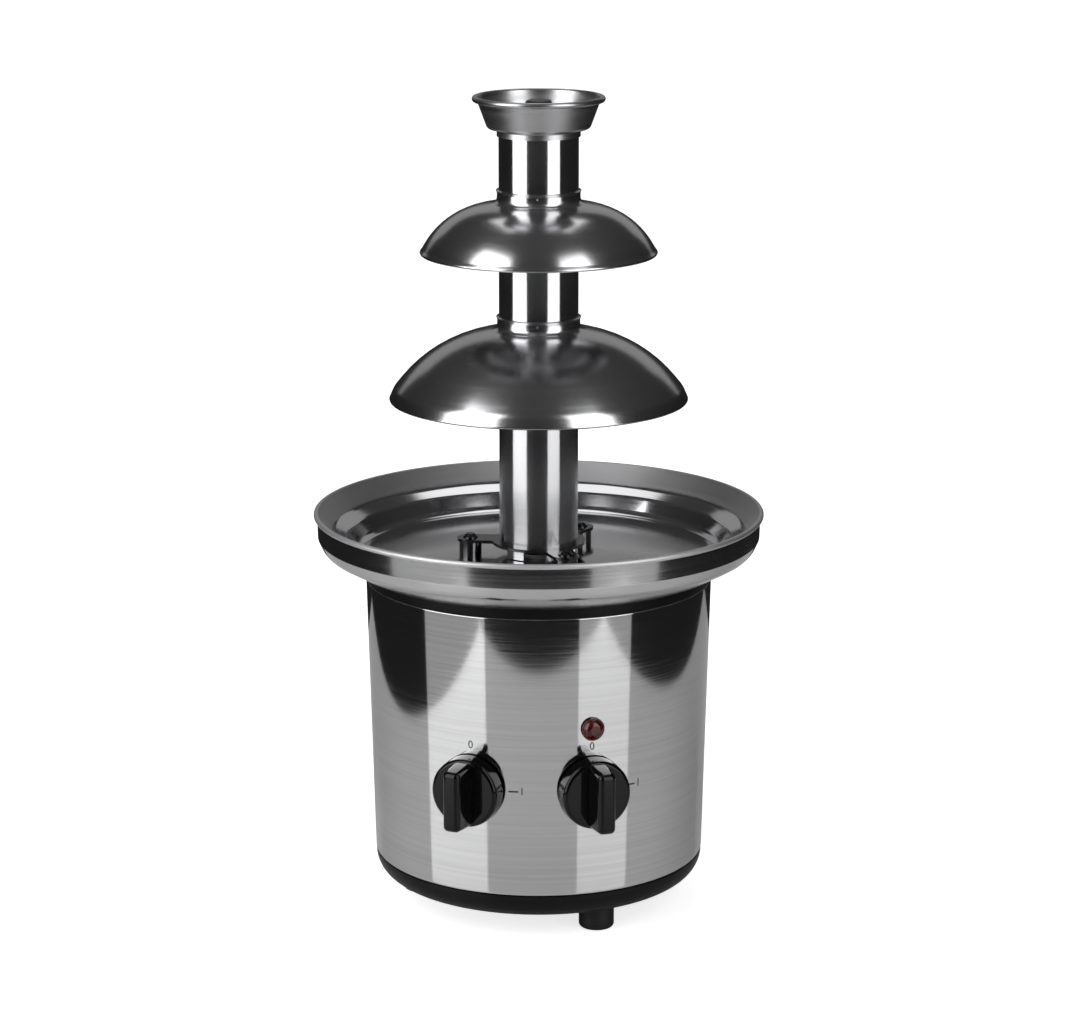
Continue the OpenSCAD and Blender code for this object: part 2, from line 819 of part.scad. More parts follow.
module lip_seal() {
    color("#30302f") translate([0, 0, z_floor - seal_h]) difference() {
        cylinder(r = bush_r, h = seal_h + hub_flange_t);
        translate([0, 0, -over]) cylinder(r = shaft_r + run_gap, h = seal_h + hub_flange_t + 2 * over);
    }
}

// Heater

module heater_plate() {
    color("lightgray") difference() {
        translate([0, 0, z_heater]) cylinder(r = heater_out_r, h = heater_t);
        translate([0, 0, z_heater - over]) cylinder(r = heater_in_r, h = heater_t + 2 * over);
        translate([0, 0, z_heater]) rotate_extrude()
            translate([element_ring_r, 0]) circle(d = element_d + 2 * fit_gap);
    }
}

module heating_element() {
    tail_d = 3;
    tail_h = 14;
    tail_turn = 4;
    gap_turn = (360 - element_span) / 2;
    color("dimgray") translate([0, 0, z_heater]) {
        rotate(gap_turn) rotate_extrude(angle = element_span)
            translate([element_ring_r, 0]) circle(d = element_d);
        for (side = [-1, 1])
            rotate(side * (gap_turn + tail_turn))
                translate([element_ring_r, 0, -tail_h]) cylinder(d = tail_d, h = tail_h);
    }
}

// Two blade terminals that point down, a distance apart
module blades(apart) {
    blade_w = 6.3;
    blade_t = 0.8;
    for (side = [-1, 1])
        translate([side * apart / 2 - blade_t / 2, -blade_w / 2, -blade_h])
            cube([blade_t, blade_w, blade_h + over]);
}

module thermostat() {
    cap_r = 8;
    cap_h = 4;
    body_r = 7;
    body_h = 8;
    color("#3a3a3c") translate([element_ring_r, 0, z_heater]) {
        translate([0, 0, -cap_h]) cylinder(r = cap_r, h = cap_h);
        translate([0, 0, -body_h]) cylinder(r = body_r, h = body_h - cap_h / 2);
        translate([0, 0, -body_h]) blades(body_r);
    }
}

module thermal_fuse() {
    fuse_r = 2.6;
    fuse_h = 12;
    strap_w = 6;
    strap_t = 0.8;
    element_gap = 1.2;
    fuse_ring_r = element_ring_r - element_d / 2 - element_gap - fuse_r;
    color("ivory") rotate(180) translate([fuse_ring_r, 0, z_heater]) {
        translate([0, 0, -fuse_r - strap_t]) rotate([90, 0, 0])
            cylinder(r = fuse_r, h = fuse_h, center = true);
        translate([-fuse_r, -strap_w / 2, -strap_t - fuse_r]) cube([2 * fuse_r, strap_w, strap_t + fuse_r]);
    }
}

// Columns, motor plate and gearmotor

module standoffs() {
    height = z_under - z_plate;
    color("silver") three_round(peg_turn, peg_ring_r) translate([0, 0, z_plate]) difference() {
        cylinder(r = pillar_r, h = height);
        translate([0, 0, height - stud_reach - over])
            cylinder(d = peg_stud_d + 2 * fit_gap, h = stud_reach + 2 * over);
        translate([0, 0, -over]) cylinder(d = stud_d + 2 * fit_gap, h = stud_reach + 2 * over);
    }
}

module motor_plate() {
    rim_w = 6;
    boss_gap = 0.5;
    color("lightgray") translate([0, 0, z_plate - plate_t]) difference() {
        cylinder(r = peg_ring_r + rim_w, h = plate_t);
        translate([0, 0, -over]) cylinder(r = gearbox_boss_r + boss_gap, h = plate_t + 2 * over);
        three_round(peg_turn, peg_ring_r)
            translate([0, 0, -over]) cylinder(d = stud_d + 2 * fit_gap, h = plate_t + 2 * over);
        motor_screw_places()
            translate([0, 0, -over]) cylinder(d = motor_screw_d + 2 * fit_gap, h = plate_t + 2 * over);
    }
}

module motor_screw_places() {
    for (i = [0:3]) rotate(45 + peg_turn + 90 * i) translate([motor_screw_ring_r, 0, 0]) children();
}

module pillars() {
    height = z_plate - plate_t - z_base_in;
    color("silver") three_round(peg_turn, peg_ring_r) translate([0, 0, z_base_in]) difference() {
        union() {
            cylinder(r = pillar_r, h = height);
            cylinder(d = stud_d, h = height + plate_t + stud_reach);
        }
        translate([0, 0, -over]) cylinder(d = pillar_screw_d + 2 * fit_gap, h = stud_reach + 2 * over);
    }
}

module pillar_screws() {
    color("dimgray") three_round(peg_turn, peg_ring_r)
        translate([0, 0, z_base + base_t / 2])
            pan_screw(pillar_screw_d, stud_reach, screw_head_r, screw_head_h);
}

module gearbox() {
    edge_r = 1.5;
    box_r = gearbox_d / 2;
    color("#4a4a4d") translate([0, 0, z_gearbox]) difference() {
        union() {
            rotate_extrude() polygon(rounded([
                [0, 0, 0],
                [box_r, 0, edge_r],
                [box_r, gearbox_h, edge_r],
                [0, gearbox_h, 0]
            ]));
            cylinder(r = gearbox_boss_r, h = gearbox_h + plate_t + gearbox_boss_h);
        }
        translate([0, 0, gearbox_floor_t])
            cylinder(r = shaft_r + run_gap, h = shaft_in_box + plate_t + gearbox_boss_h + over);
        motor_screw_places() translate([0, 0, gearbox_h - stud_reach])
            cylinder(d = motor_screw_d + 2 * fit_gap, h = stud_reach + over);
    }
}

module motor() {
    cap_r = 8;
    cap_h = 3;
    edge_r = 3;
    can_r = motor_d / 2;
    color("silver") translate([0, 0, z_gearbox - motor_h]) {
        rotate_extrude() polygon(rounded([
            [0, 0, 0],
            [can_r, 0, edge_r],
            [can_r, motor_h, 0],
            [0, motor_h, 0]
        ]));
        translate([0, 0, -cap_h]) cylinder(r = cap_r, h = cap_h + over);
        blades(can_r + edge_r);
    }
}

module motor_screws() {
    head_r = 2.9;
    color("dimgray") motor_screw_places() translate([0, 0, z_plate]) mirror([0, 0, 1])
        pan_screw(motor_screw_d, plate_t + stud_reach - over, head_r, screw_head_h);
}

// Front panel

module rotary_switch(turn) {
    color("#2a2a2c") on_panel(turn, z_knob) difference() {
        union() {
            translate([-switch_w / 2, -switch_w / 2, switch_front - switch_depth])
                cube([switch_w, switch_w, switch_depth]);
            translate([0, 0, switch_front - over])
                cylinder(r = switch_collar_r, h = switch_collar_h + over);
            translate([0, 0, switch_front - over]) cylinder(d = neck_d, h = neck_end - switch_front + over);
            translate([0, 0, switch_front - switch_depth]) blades(switch_w / 2);
        }
        translate([0, 0, spindle_start - spindle_end_gap])
            cylinder(r = spindle_r + run_gap, h = neck_end - spindle_start + spindle_end_gap + over);
    }
}

module motor_switch() { rotary_switch(-knob_turn); }
module heat_switch() { rotary_switch(knob_turn); }

module switch_nuts() {
    color("silver") for (side = [-1, 1])
        on_panel(side * knob_turn, z_knob) translate([0, 0, neck_end - switch_nut_t]) difference() {
            hexagon(switch_nut_af, switch_nut_t);
            translate([0, 0, -over]) cylinder(d = neck_d + 2 * fit_gap, h = switch_nut_t + 2 * over);
        }
}

// The round of a spindle with the flat that keys the knob
module keyed_round(r, from, to) {
    flat_from = neck_end + 1;
    difference() {
        translate([0, 0, from]) cylinder(r = r, h = to - from);
        translate([-2 * r, r - spindle_flat, flat_from]) cube([4 * r, 2 * r, to - flat_from + over]);
    }
}

module spindle(turn) {
    color("silver") on_panel(turn, z_knob) keyed_round(spindle_r, spindle_start, spindle_end);
}

module motor_spindle() { spindle(-knob_turn); }
module heat_spindle() { spindle(knob_turn); }

// A hollow disc with a tall grip fin across it, keyed to its spindle
module knob(turn) {
    boss_r = spindle_r + 2.5;
    boss_gap = 0.5;
    draft = 0.5;
    back_edge_r = 0.6;
    front_edge_r = 2;
    ridge_edge_r = 1.2;
    ridge_w = fin_w - 2.7;
    ridge_in = 1.2;
    fin_top = knob_depth + fin_h;
    color("#161617") on_panel(turn, z_knob) difference() {
        translate([0, 0, knob_back]) union() {
            difference() {
                rotate_extrude() polygon(rounded([
                    [0, 0, 0],
                    [knob_r, 0, back_edge_r],
                    [knob_r - draft, knob_depth, front_edge_r],
                    [0, knob_depth, 0]
                ]));
                difference() {
                    translate([0, 0, -over])
                        cylinder(r = knob_r - knob_wall, h = knob_depth - knob_face_t + over);
                    translate([0, 0, neck_end + boss_gap - knob_back])
                        cylinder(r = boss_r, h = knob_depth);
                }
            }
            intersection() {
                rotate([90, 0, 0]) linear_extrude(knob_d, center = true) polygon(rounded([
                    [-fin_w / 2, knob_depth - knob_face_t / 2, 0],
                    [-fin_w / 2, knob_depth, 0],
                    [-ridge_w / 2, fin_top, ridge_edge_r],
                    [ridge_w / 2, fin_top, ridge_edge_r],
                    [fin_w / 2, knob_depth, 0],
                    [fin_w / 2, knob_depth - knob_face_t / 2, 0]
                ]));
                rotate_extrude() polygon(rounded([
                    [0, 0, 0],
                    [knob_r - draft, 0, 0],
                    [knob_r - draft, knob_depth, 0],
                    [knob_r - draft - ridge_in, fin_top, ridge_edge_r],
                    [0, fin_top, 0]
                ]));
            }
        }
        keyed_round(spindle_r + fit_gap, neck_end, spindle_end + fit_gap);
    }
}

module motor_knob() { knob(-knob_turn); }
module heat_knob() { knob(knob_turn); }

lamp_seat = shell_r(z_lamp) + curve_gap;

module lamp_lens() {
    rim_t = 1;
    rim_w = 0.6;
    dome_h = 2.6;
    lens_r = lamp_d / 2;
    ball_r = (lens_r * lens_r + dome_h * dome_h) / (2 * dome_h);
    color("#8c1010") on_panel(lamp_turn, z_lamp) translate([0, 0, lamp_seat]) {
        cylinder(r = lens_r + rim_w, h = rim_t);
        intersection() {
            translate([0, 0, rim_t + dome_h - ball_r]) sphere(ball_r);
            cylinder(r = lens_r, h = rim_t + dome_h + over);
        }
    }
}

module lamp_holder() {
    length = 20;
    blade_gap = 5;
    grip_r = lamp_neck_r + 1.2;
    grip_h = 2;
    z_grip = shell_r(z_lamp) - sheet_t - curve_gap - grip_h;
    color("ivory") on_panel(lamp_turn, z_lamp) {
        translate([0, 0, lamp_seat - length]) cylinder(r = lamp_neck_r, h = length);
        translate([0, 0, z_grip]) cylinder(r = grip_r, h = grip_h);
        translate([0, 0, lamp_seat - length]) blades(blade_gap);
    }
}

module terminal_block() {
    block = [30, 18, 13];
    block_y = 40;
    well_r = 2.6;
    well_depth = 7;
    ways = 3;
    way_w = block[0] / ways;
    color("ivory") translate([-block[0] / 2, block_y, z_base_in]) difference() {
        cube(block);
        for (i = [0:ways - 1])
            translate([(i + 0.5) * way_w, block[1] / 2, block[2] - well_depth])
                cylinder(r = well_r, h = well_depth + over);
    }
}

module inlet_bush() {
    flange_t = 2.5;
    back_r = inlet_neck_r + 3;
    front_r = inlet_neck_r + 2;
    back_edge_r = 0.4;
    front_edge_r = 1;
    grip_w = 0.8;
    grip_h = 2;
    neck_h = 7;
    seat = shell_r(z_inlet) + curve_gap;
    z_grip = shell_r(z_inlet) - sheet_t - curve_gap - grip_h;
    color("#1b1b1d") on_panel(180, z_inlet) difference() {
        union() {
            translate([0, 0, seat]) rotate_extrude() polygon(rounded([
                [0, 0, 0],
                [back_r, 0, back_edge_r],
                [front_r, flange_t, front_edge_r],
                [0, flange_t, 0]
            ]));
            translate([0, 0, seat - neck_h]) cylinder(r = inlet_neck_r, h = neck_h + flange_t / 2);
            translate([0, 0, z_grip]) cylinder(r = inlet_neck_r + grip_w, h = grip_h);
        }
        translate([0, 0, seat - neck_h - over]) cylinder(d = inlet_d, h = neck_h + flange_t + 2 * over);
    }
}

crown();
upper_canopy();
lower_canopy();
tower_tube();
tower_foot();
auger();
drive_coupling();
coupling_pin();
drive_shaft();
bowl();
bowl_skirt();
locating_pegs();
insulating_ring();
body_shell();
base_plate();
foot_1();
foot_2();
foot_3();
foot_inserts();
shaft_hub();
hub_gasket();
hub_nut();
bearing_bush();
lip_seal();
heater_plate();
heating_element();
thermostat();
thermal_fuse();
standoffs();
motor_plate();
pillars();
pillar_screws();
gearbox();
motor();
motor_screws();
motor_switch();
heat_switch();
switch_nuts();
motor_spindle();
heat_spindle();
motor_knob();
heat_knob();
lamp_lens();
lamp_holder();
terminal_block();
inlet_bush();
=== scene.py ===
# %% [markdown]
# # A chocolate fountain, dressed around its CAD frame
# The fountain is a steel housing with a heated bowl, and a tower that lifts off it. The CAD model
# holds every solid. This lesson makes what the eye meets: spun sheet with rolled rims, a moulded
# screw, knobs, printed marks and the finishes of steel and plastic.
# Everything is in metres, in the frame's own coordinates, so nothing has to be fitted.

# %% Load the frame
import json
import math

import bpy
from mathutils import Matrix, Vector


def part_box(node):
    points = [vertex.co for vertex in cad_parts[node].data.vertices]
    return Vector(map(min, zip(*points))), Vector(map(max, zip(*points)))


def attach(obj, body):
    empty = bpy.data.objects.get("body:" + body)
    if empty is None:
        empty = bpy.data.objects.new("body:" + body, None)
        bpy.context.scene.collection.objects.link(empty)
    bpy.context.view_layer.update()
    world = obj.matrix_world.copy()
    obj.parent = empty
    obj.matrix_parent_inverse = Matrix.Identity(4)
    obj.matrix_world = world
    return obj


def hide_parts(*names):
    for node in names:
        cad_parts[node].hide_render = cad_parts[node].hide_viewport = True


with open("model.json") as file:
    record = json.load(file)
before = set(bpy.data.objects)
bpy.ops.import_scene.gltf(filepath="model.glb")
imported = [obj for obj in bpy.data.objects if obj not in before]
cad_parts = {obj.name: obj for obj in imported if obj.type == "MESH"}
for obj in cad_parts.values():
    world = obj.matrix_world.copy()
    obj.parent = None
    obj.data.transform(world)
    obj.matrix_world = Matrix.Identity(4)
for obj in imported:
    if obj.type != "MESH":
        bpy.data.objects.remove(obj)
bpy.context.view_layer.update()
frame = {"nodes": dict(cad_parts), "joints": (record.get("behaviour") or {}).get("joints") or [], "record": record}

mm = 0.001

# %% [markdown]
# ## Measuring the frame
# A round node is known by its radius and its two levels, and a node on the front panel by how far
# it reaches along its own axis. Both are read from the frame. The thickness of the sheet, the
# roundings of its bends and the smaller steps of each section are written down with their piece.

# %% Measure round nodes and nodes on an axis
def round_size(node):
    """Radius, lowest and highest level of a node that is round about the tower's axis."""
    low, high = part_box(node)
    return (high.x - low.x) / 2, low.z, high.z


def reach_along(node, direction):
    """Nearest and farthest distance of a node from the origin along a direction."""
    reaches = [vertex.co.dot(direction) for vertex in frame["nodes"][node].data.vertices]
    return min(reaches), max(reaches)


sheet = 0.8 * mm
slack = 0.05 * mm
tube_r, tube_low, tube_top = round_size("tower_tube")
collar_r = tube_r + slack + sheet
print("tube radius", round(tube_r / mm, 2), "mm, from", round(tube_low / mm, 1),
      "to", round(tube_top / mm, 1))

# %% [markdown]
# ## Drawing a profile
# Every sheet of the fountain is spun or rolled, so it is round about one axis. A point is pulled
# along the sheet's face, and spun through an arc at each bend. The same Spin then turns the whole
# line about the tower. A lathe modifier would do that as well, but a spun line is a plain mesh at
# once, and its bends are true arcs.

# %% Helpers for lines and bends
degrees_per_step = 5
no_length = 1e-7


def left_of(heading):
    return Vector((-heading.y, heading.x))


def run_line(pen, goal):
    """Pulls the point at the pen to a goal, both given as (radius, level)."""
    step = goal - pen
    if step.length > no_length:
        bpy.ops.mesh.extrude_vertices_move(TRANSFORM_OT_translate={"value": (step.x, 0, step.y)})
    return goal


def run_bend(pen, heading, radius, turn):
    """Pulls the point round a bend. A positive turn goes to the left of the heading."""
    side = math.copysign(1, turn)
    centre = pen + left_of(heading) * side * radius
    steps = max(3, math.ceil(abs(math.degrees(turn)) / degrees_per_step))
    bpy.ops.mesh.spin(steps=steps, angle=abs(turn),
                      center=(centre.x, 0, centre.y), axis=(0, side, 0))
    spoke = pen - centre
    spoke.rotate(Matrix.Rotation(turn, 2))
    return centre + spoke


def draw_profile(name, corners, roll_r=0, roll_turn=0):
    """A line through corners of (radius, level, rounding), with its end rolled up if asked."""
    points = [Vector(corner[:2]) for corner in corners]
    bpy.ops.mesh.primitive_plane_add(size=mm)
    bpy.context.object.name = bpy.context.object.data.name = name
    bpy.ops.object.mode_set(mode="EDIT")
    bpy.ops.mesh.select_all(action="SELECT")
    bpy.ops.mesh.merge(type="CENTER")
    bpy.ops.transform.translate(value=(points[0].x, 0, points[0].y))
    pen = points[0]
    for i in range(1, len(points) - 1):
        before = (points[i] - points[i - 1]).normalized()
        after = (points[i + 1] - points[i]).normalized()
        turn = math.atan2(left_of(before).dot(after), before.dot(after))
        inset = corners[i][2] * math.tan(abs(turn) / 2)
        pen = run_line(pen, points[i] - before * inset)
        if inset > 0:
            pen = run_bend(pen, before, corners[i][2], turn)
    heading = (points[-1] - points[-2]).normalized()
    pen = run_line(pen, points[-1])
    if roll_turn:
        run_bend(pen, heading, roll_r, roll_turn)
    bpy.ops.object.mode_set(mode="OBJECT")
    return bpy.context.object


# %% Helpers that turn a line into a finished piece
columns = 180
same_point = 1e-6


def select_only(*pieces):
    """Selects these pieces alone, with the last of them active."""
    bpy.ops.object.select_all(action="DESELECT")
    for piece in pieces:
        piece.select_set(True)
    bpy.context.view_layer.objects.active = pieces[-1]


def turn_round(piece):
    """Turns a line that has just been drawn into a sheet about the tower's axis."""
    bpy.ops.object.mode_set(mode="EDIT")
    bpy.ops.mesh.select_all(action="SELECT")
    bpy.ops.mesh.spin(steps=columns, angle=2 * math.pi, center=(0, 0, 0), axis=(0, 0, 1))
    bpy.ops.mesh.select_all(action="SELECT")
    bpy.ops.mesh.remove_doubles(threshold=same_point)
    bpy.ops.mesh.normals_make_consistent(inside=False)
    bpy.ops.object.mode_set(mode="OBJECT")
    return piece


def apply_modifier(piece, kind, **settings):
    """Adds a modifier with its settings and makes it part of the mesh."""
    select_only(piece)
    modifier = piece.modifiers.new(kind.lower(), kind)
    for key, value in settings.items():
        setattr(modifier, key, value)
    bpy.ops.object.modifier_apply(modifier=modifier.name)
    return piece


def line_side(piece, corners):
    """+1 where the faces look to the left of the drawn line, and -1 where they look right."""
    start, end = Vector(corners[0][:2]), Vector(corners[1][:2])
    left = left_of(end - start)
    near = Vector((start.x, 0, start.y))
    face = min(piece.data.polygons, key=lambda f: (f.center - near).length)
    return math.copysign(1, face.normal.x * left.x + face.normal.z * left.y)


def give_wall(piece, corners, wall):
    """Thickens a sheet to the left of its line, or to the right where the wall is negative."""
    side = math.copysign(1, wall) * line_side(piece, corners)
    return apply_modifier(piece, "SOLIDIFY", thickness=abs(wall), offset=side, use_even_offset=True)


def smooth(piece, degrees=40):
    """Shades a piece smooth, apart from edges sharper than an angle."""
    select_only(piece)
    bpy.ops.object.shade_smooth_by_angle(angle=math.radians(degrees))
    return piece


def spin_sheet(name, corners, wall, roll_r=0, roll_turn=0):
    """A spun sheet: its line, its turn about the tower, its wall and its smooth shading."""
    piece = turn_round(draw_profile(name, corners, roll_r, math.radians(roll_turn)))
    return smooth(give_wall(piece, corners, wall))


def spin_solid(name, corners):
    """A solid turned from a line whose ends lie on the axis or meet each other."""
    return smooth(turn_round(draw_profile(name, corners)))


def cut_away(piece, *tools):
    """Cuts tool meshes out of a piece and deletes the tools."""
    for tool in tools:
        apply_modifier(piece, "BOOLEAN", object=tool, operation="DIFFERENCE", solver="EXACT")
        bpy.data.objects.remove(tool)
    return piece


def twin(piece, name):
    """A copy of a piece with a mesh of its own."""
    copy = piece.copy()
    copy.data = piece.data.copy()
    copy.name = name
    bpy.context.scene.collection.objects.link(copy)
    return copy


print("helpers ready,", columns, "columns to a turn")

# %% [markdown]
# ## Finishes
# A finish is a Principled shader with patterns on Object coordinates, which lie still on a piece
# from every side. Stretched noise gives brushed and drawn lines, and noise over the distance from
# the axis gives the rings that a spinning lathe leaves. Both drive the roughness and a fine bump.

# %% Helpers for nodes
def shader_of(material):
    return material.node_tree.nodes["Principled BSDF"]


def surface_of(material):
    return material.node_tree.nodes["Material Output"].inputs["Surface"]


def wire(owner, source, target):
    """Links an output to an input in the nodes of a material or world."""
    owner.node_tree.links.new(source, target)


def link_new(owner, kind, source=None, socket=0, **settings):
    """Adds a node with its settings, fed from a source output, and returns it."""
    node = owner.node_tree.nodes.new(kind)
    for key, value in settings.items():
        setattr(node, key, value)
    if source is not None:
        wire(owner, source, node.inputs[socket])
    return node


def object_place(material):
    return link_new(material, "ShaderNodeTexCoord").outputs["Object"]


def object_level(material):
    return link_new(material, "ShaderNodeSeparateXYZ", object_place(material)).outputs["Z"]


def map_range(owner, source, from_low, from_high, to_low, to_high):
    """Maps one range of a value onto another."""
    node = link_new(owner, "ShaderNodeMapRange", source)
    node.inputs["From Min"].default_value = from_low
    node.inputs["From Max"].default_value = from_high
    node.inputs["To Min"].default_value = to_low
    node.inputs["To Max"].default_value = to_high
    return node.outputs[0]


# %% Helpers for patterns
noise_low, noise_high = 0.3, 0.7
ring_detail = 2.0


def noise_at(material, place, detail):
    """Noise of one wave to a unit of the place that it is given."""
    noise = link_new(material, "ShaderNodeTexNoise", place)
    noise.inputs["Scale"].default_value = 1
    noise.inputs["Detail"].default_value = detail
    return noise.outputs["Fac"]


def grain(material, stretch, detail=3.0):
    """Noise on Object coordinates with so many waves to a metre along X, Y and Z."""
    scaled = link_new(material, "ShaderNodeMapping", object_place(material))
    scaled.inputs["Scale"].default_value = stretch
    return noise_at(material, scaled.outputs[0], detail)


def mottle(material, waves, detail=3.0):
    """Grain that is alike in all directions."""
    return grain(material, (waves, waves, waves), detail)


def rings(material, waves, drift):
    """Noise that runs in rings about the axis, with a slow drift from place to place."""
    place = object_place(material)
    flat = link_new(material, "ShaderNodeVectorMath", place, operation="MULTIPLY")
    flat.inputs[1].default_value = (1, 1, 0)
    radius = link_new(material, "ShaderNodeVectorMath", flat.outputs[0], operation="LENGTH")
    along = link_new(material, "ShaderNodeMath", radius.outputs["Value"], operation="SUBTRACT")
    wire(material, object_level(material), along.inputs[1])
    turns = link_new(material, "ShaderNodeMath", along.outputs[0], operation="MULTIPLY")
    turns.inputs[1].default_value = waves
    slow = link_new(material, "ShaderNodeVectorMath", place, operation="SCALE")
    slow.inputs["Scale"].default_value = drift
    shifted = link_new(material, "ShaderNodeVectorMath", slow.outputs[0], operation="ADD")
    lift = link_new(material, "ShaderNodeCombineXYZ", turns.outputs[0], "X")
    wire(material, lift.outputs[0], shifted.inputs[1])
    return noise_at(material, shifted.outputs[0], ring_detail)


def spread(material, pattern, low, high):
    """Spreads a pattern of noise over a range of values."""
    return map_range(material, pattern, noise_low, noise_high, low, high)


# %% Helpers for finishes
def new_finish(name, colour, metallic=0.0, roughness=0.4, **sockets):
    """A material whose even values are set on the shader itself."""
    material = bpy.data.materials.new(name)
    material.use_nodes = True
    shader = shader_of(material)
    shader.inputs["Base Color"].default_value = (*colour, 1)
    shader.inputs["Metallic"].default_value = metallic
    shader.inputs["Roughness"].default_value = roughness
    for socket, value in sockets.items():
        shader.inputs[socket.replace("_", " ")].default_value = value
    return material


def lathe_finish(name, colour, blur):
    """Metal with lines round the tower, which blur a reflection along the tower."""
    material = new_finish(name, colour, 1.0, Anisotropic=blur, Anisotropic_Rotation=0.25)
    way = link_new(material, "ShaderNodeTangent", direction_type="RADIAL", axis="Z")
    wire(material, way.outputs[0], shader_of(material).inputs["Tangent"])
    return material


def vary_roughness(material, pattern, low, high):
    """Runs the roughness over a range along a pattern."""
    wire(material, spread(material, pattern, low, high), shader_of(material).inputs["Roughness"])


def step_roughness(material, pattern, level, below, above):
    """Runs the roughness in one range below a level and in another above it."""
    half_step = 0.5 * mm
    step = map_range(material, object_level(material), level - half_step, level + half_step, 0, 1)
    mix = link_new(material, "ShaderNodeMix", step, "Factor", data_type="FLOAT")
    wire(material, spread(material, pattern, *below), mix.inputs["A"])
    wire(material, spread(material, pattern, *above), mix.inputs["B"])
    wire(material, mix.outputs["Result"], shader_of(material).inputs["Roughness"])


def vary_colour(material, pattern, dark, pale):
    """Runs the colour between two tones along a pattern."""
    mix = link_new(material, "ShaderNodeMix", data_type="RGBA")
    wire(material, spread(material, pattern, 0, 1), mix.inputs["Factor"])
    mix.inputs["A"].default_value = (*dark, 1)
    mix.inputs["B"].default_value = (*pale, 1)
    wire(material, mix.outputs["Result"], shader_of(material).inputs["Base Color"])


def engrave(material, pattern, height):
    """Bumps a pattern of a height into the surface, on top of any bump already there."""
    normal = shader_of(material).inputs["Normal"]
    bump = link_new(material, "ShaderNodeBump", pattern, "Height")
    bump.inputs["Distance"].default_value = height
    if normal.is_linked:
        wire(material, normal.links[0].from_socket, bump.inputs["Normal"])
    wire(material, bump.outputs[0], normal)


# %% [markdown]
# ### Steel
# Tube, bowl, skirt and canopies are finished on the lathe, so fine lines run round them in rings,
# and the housing is brushed the same way. Such steel blurs a reflection across its lines: the
# anisotropy gives that blur, and a quarter turn of it points the blur along the tower. The crown
# is plain satin. Pegs and ears are polished steel with a dark colour, which is painted shade: it
# stands for the dark room that they mirror.

# %% Steel finishes
steel_tone = (0.63, 0.63, 0.64)
turned_steel = lathe_finish("turned_steel", steel_tone, 1.0)
vary_roughness(turned_steel, grain(turned_steel, (4, 4, 900)), 0.19, 0.21)
engrave(turned_steel, grain(turned_steel, (4, 4, 1200), 1.0), 0.00008 * mm)

# The dark colour of this polished steel is painted shade for the dark room that pegs and ears mirror.
polished_steel = new_finish("polished_steel", (0.14, 0.14, 0.145), 1.0)
vary_roughness(polished_steel, mottle(polished_steel, 120), 0.10, 0.17)
engrave(polished_steel, mottle(polished_steel, 700), 0.0015 * mm)

spun_steel = lathe_finish("spun_steel", (0.58, 0.58, 0.585), 0.5)
vary_roughness(spun_steel, rings(spun_steel, 1300, 10), 0.12, 0.19)
engrave(spun_steel, rings(spun_steel, 2400, 14), 0.0005 * mm)

cup_steel = new_finish("cup_steel", (0.45, 0.45, 0.46), 1.0)
vary_roughness(cup_steel, rings(cup_steel, 700, 10), 0.27, 0.37)
engrave(cup_steel, rings(cup_steel, 1500, 14), 0.002 * mm)

satin_steel = lathe_finish("satin_steel", (0.58, 0.58, 0.59), 0.5)
vary_roughness(satin_steel, rings(satin_steel, 1400, 10), 0.18, 0.23)
engrave(satin_steel, rings(satin_steel, 2600, 14), 0.0004 * mm)

brushed_steel = lathe_finish("brushed_steel", (0.60, 0.60, 0.605), 0.5)
brushed_dark, brushed_pale = (0.55, 0.55, 0.555), (0.62, 0.62, 0.625)
vary_roughness(brushed_steel, grain(brushed_steel, (14, 14, 1500)), 0.05, 0.10)
engrave(brushed_steel, grain(brushed_steel, (16, 16, 1800), 1.0), 0.0002 * mm)
engrave(brushed_steel, grain(brushed_steel, (9, 9, 420), 2.0), 0.0014 * mm)
vary_colour(brushed_steel, grain(brushed_steel, (7, 7, 900)), brushed_dark, brushed_pale)

plated_steel = new_finish("plated_steel", (0.55, 0.55, 0.56), 1.0)
vary_roughness(plated_steel, mottle(plated_steel, 160), 0.24, 0.40)
engrave(plated_steel, mottle(plated_steel, 900), 0.004 * mm)
print("steel finishes:", [m.name for m in bpy.data.materials if "steel" in m.name])

# %% [markdown]
# ### Plastic, rubber and the other metals
# Moulded parts show the grain of their mould. The base and the ring have a fine matt texture, the
# knobs are glossy with a slight ripple, and rubber is duller still. The lamp's lens is a deep red
# with fine ridges that break up its shine.

# %% Plastic, rubber and lens finishes
black_plastic = new_finish("black_plastic", (0.005, 0.005, 0.0055), Specular_IOR_Level=0.12)
vary_roughness(black_plastic, mottle(black_plastic, 300), 0.30, 0.42)
engrave(black_plastic, mottle(black_plastic, 2200), 0.006 * mm)

gloss_black = new_finish("gloss_black", (0.002, 0.002, 0.0022), IOR=1.2,
                         Coat_Weight=0.6, Coat_IOR=1.3, Coat_Roughness=0.03)
vary_roughness(gloss_black, mottle(gloss_black, 240), 0.06, 0.12)
engrave(gloss_black, mottle(gloss_black, 300), 0.004 * mm)

black_rubber = new_finish("black_rubber", (0.006, 0.006, 0.006), Specular_IOR_Level=0.35)
vary_roughness(black_rubber, mottle(black_rubber, 200), 0.5, 0.7)
engrave(black_rubber, mottle(black_rubber, 1500), 0.01 * mm)

red_rubber = new_finish("red_rubber", (0.35, 0.09, 0.05))
vary_roughness(red_rubber, mottle(red_rubber, 300), 0.45, 0.6)

dark_plastic = new_finish("dark_plastic", (0.02, 0.017, 0.015))
vary_roughness(dark_plastic, mottle(dark_plastic, 150), 0.28, 0.42)
engrave(dark_plastic, mottle(dark_plastic, 900), 0.004 * mm)

ivory_plastic = new_finish("ivory_plastic", (0.75, 0.72, 0.62))
vary_roughness(ivory_plastic, mottle(ivory_plastic, 200), 0.35, 0.5)

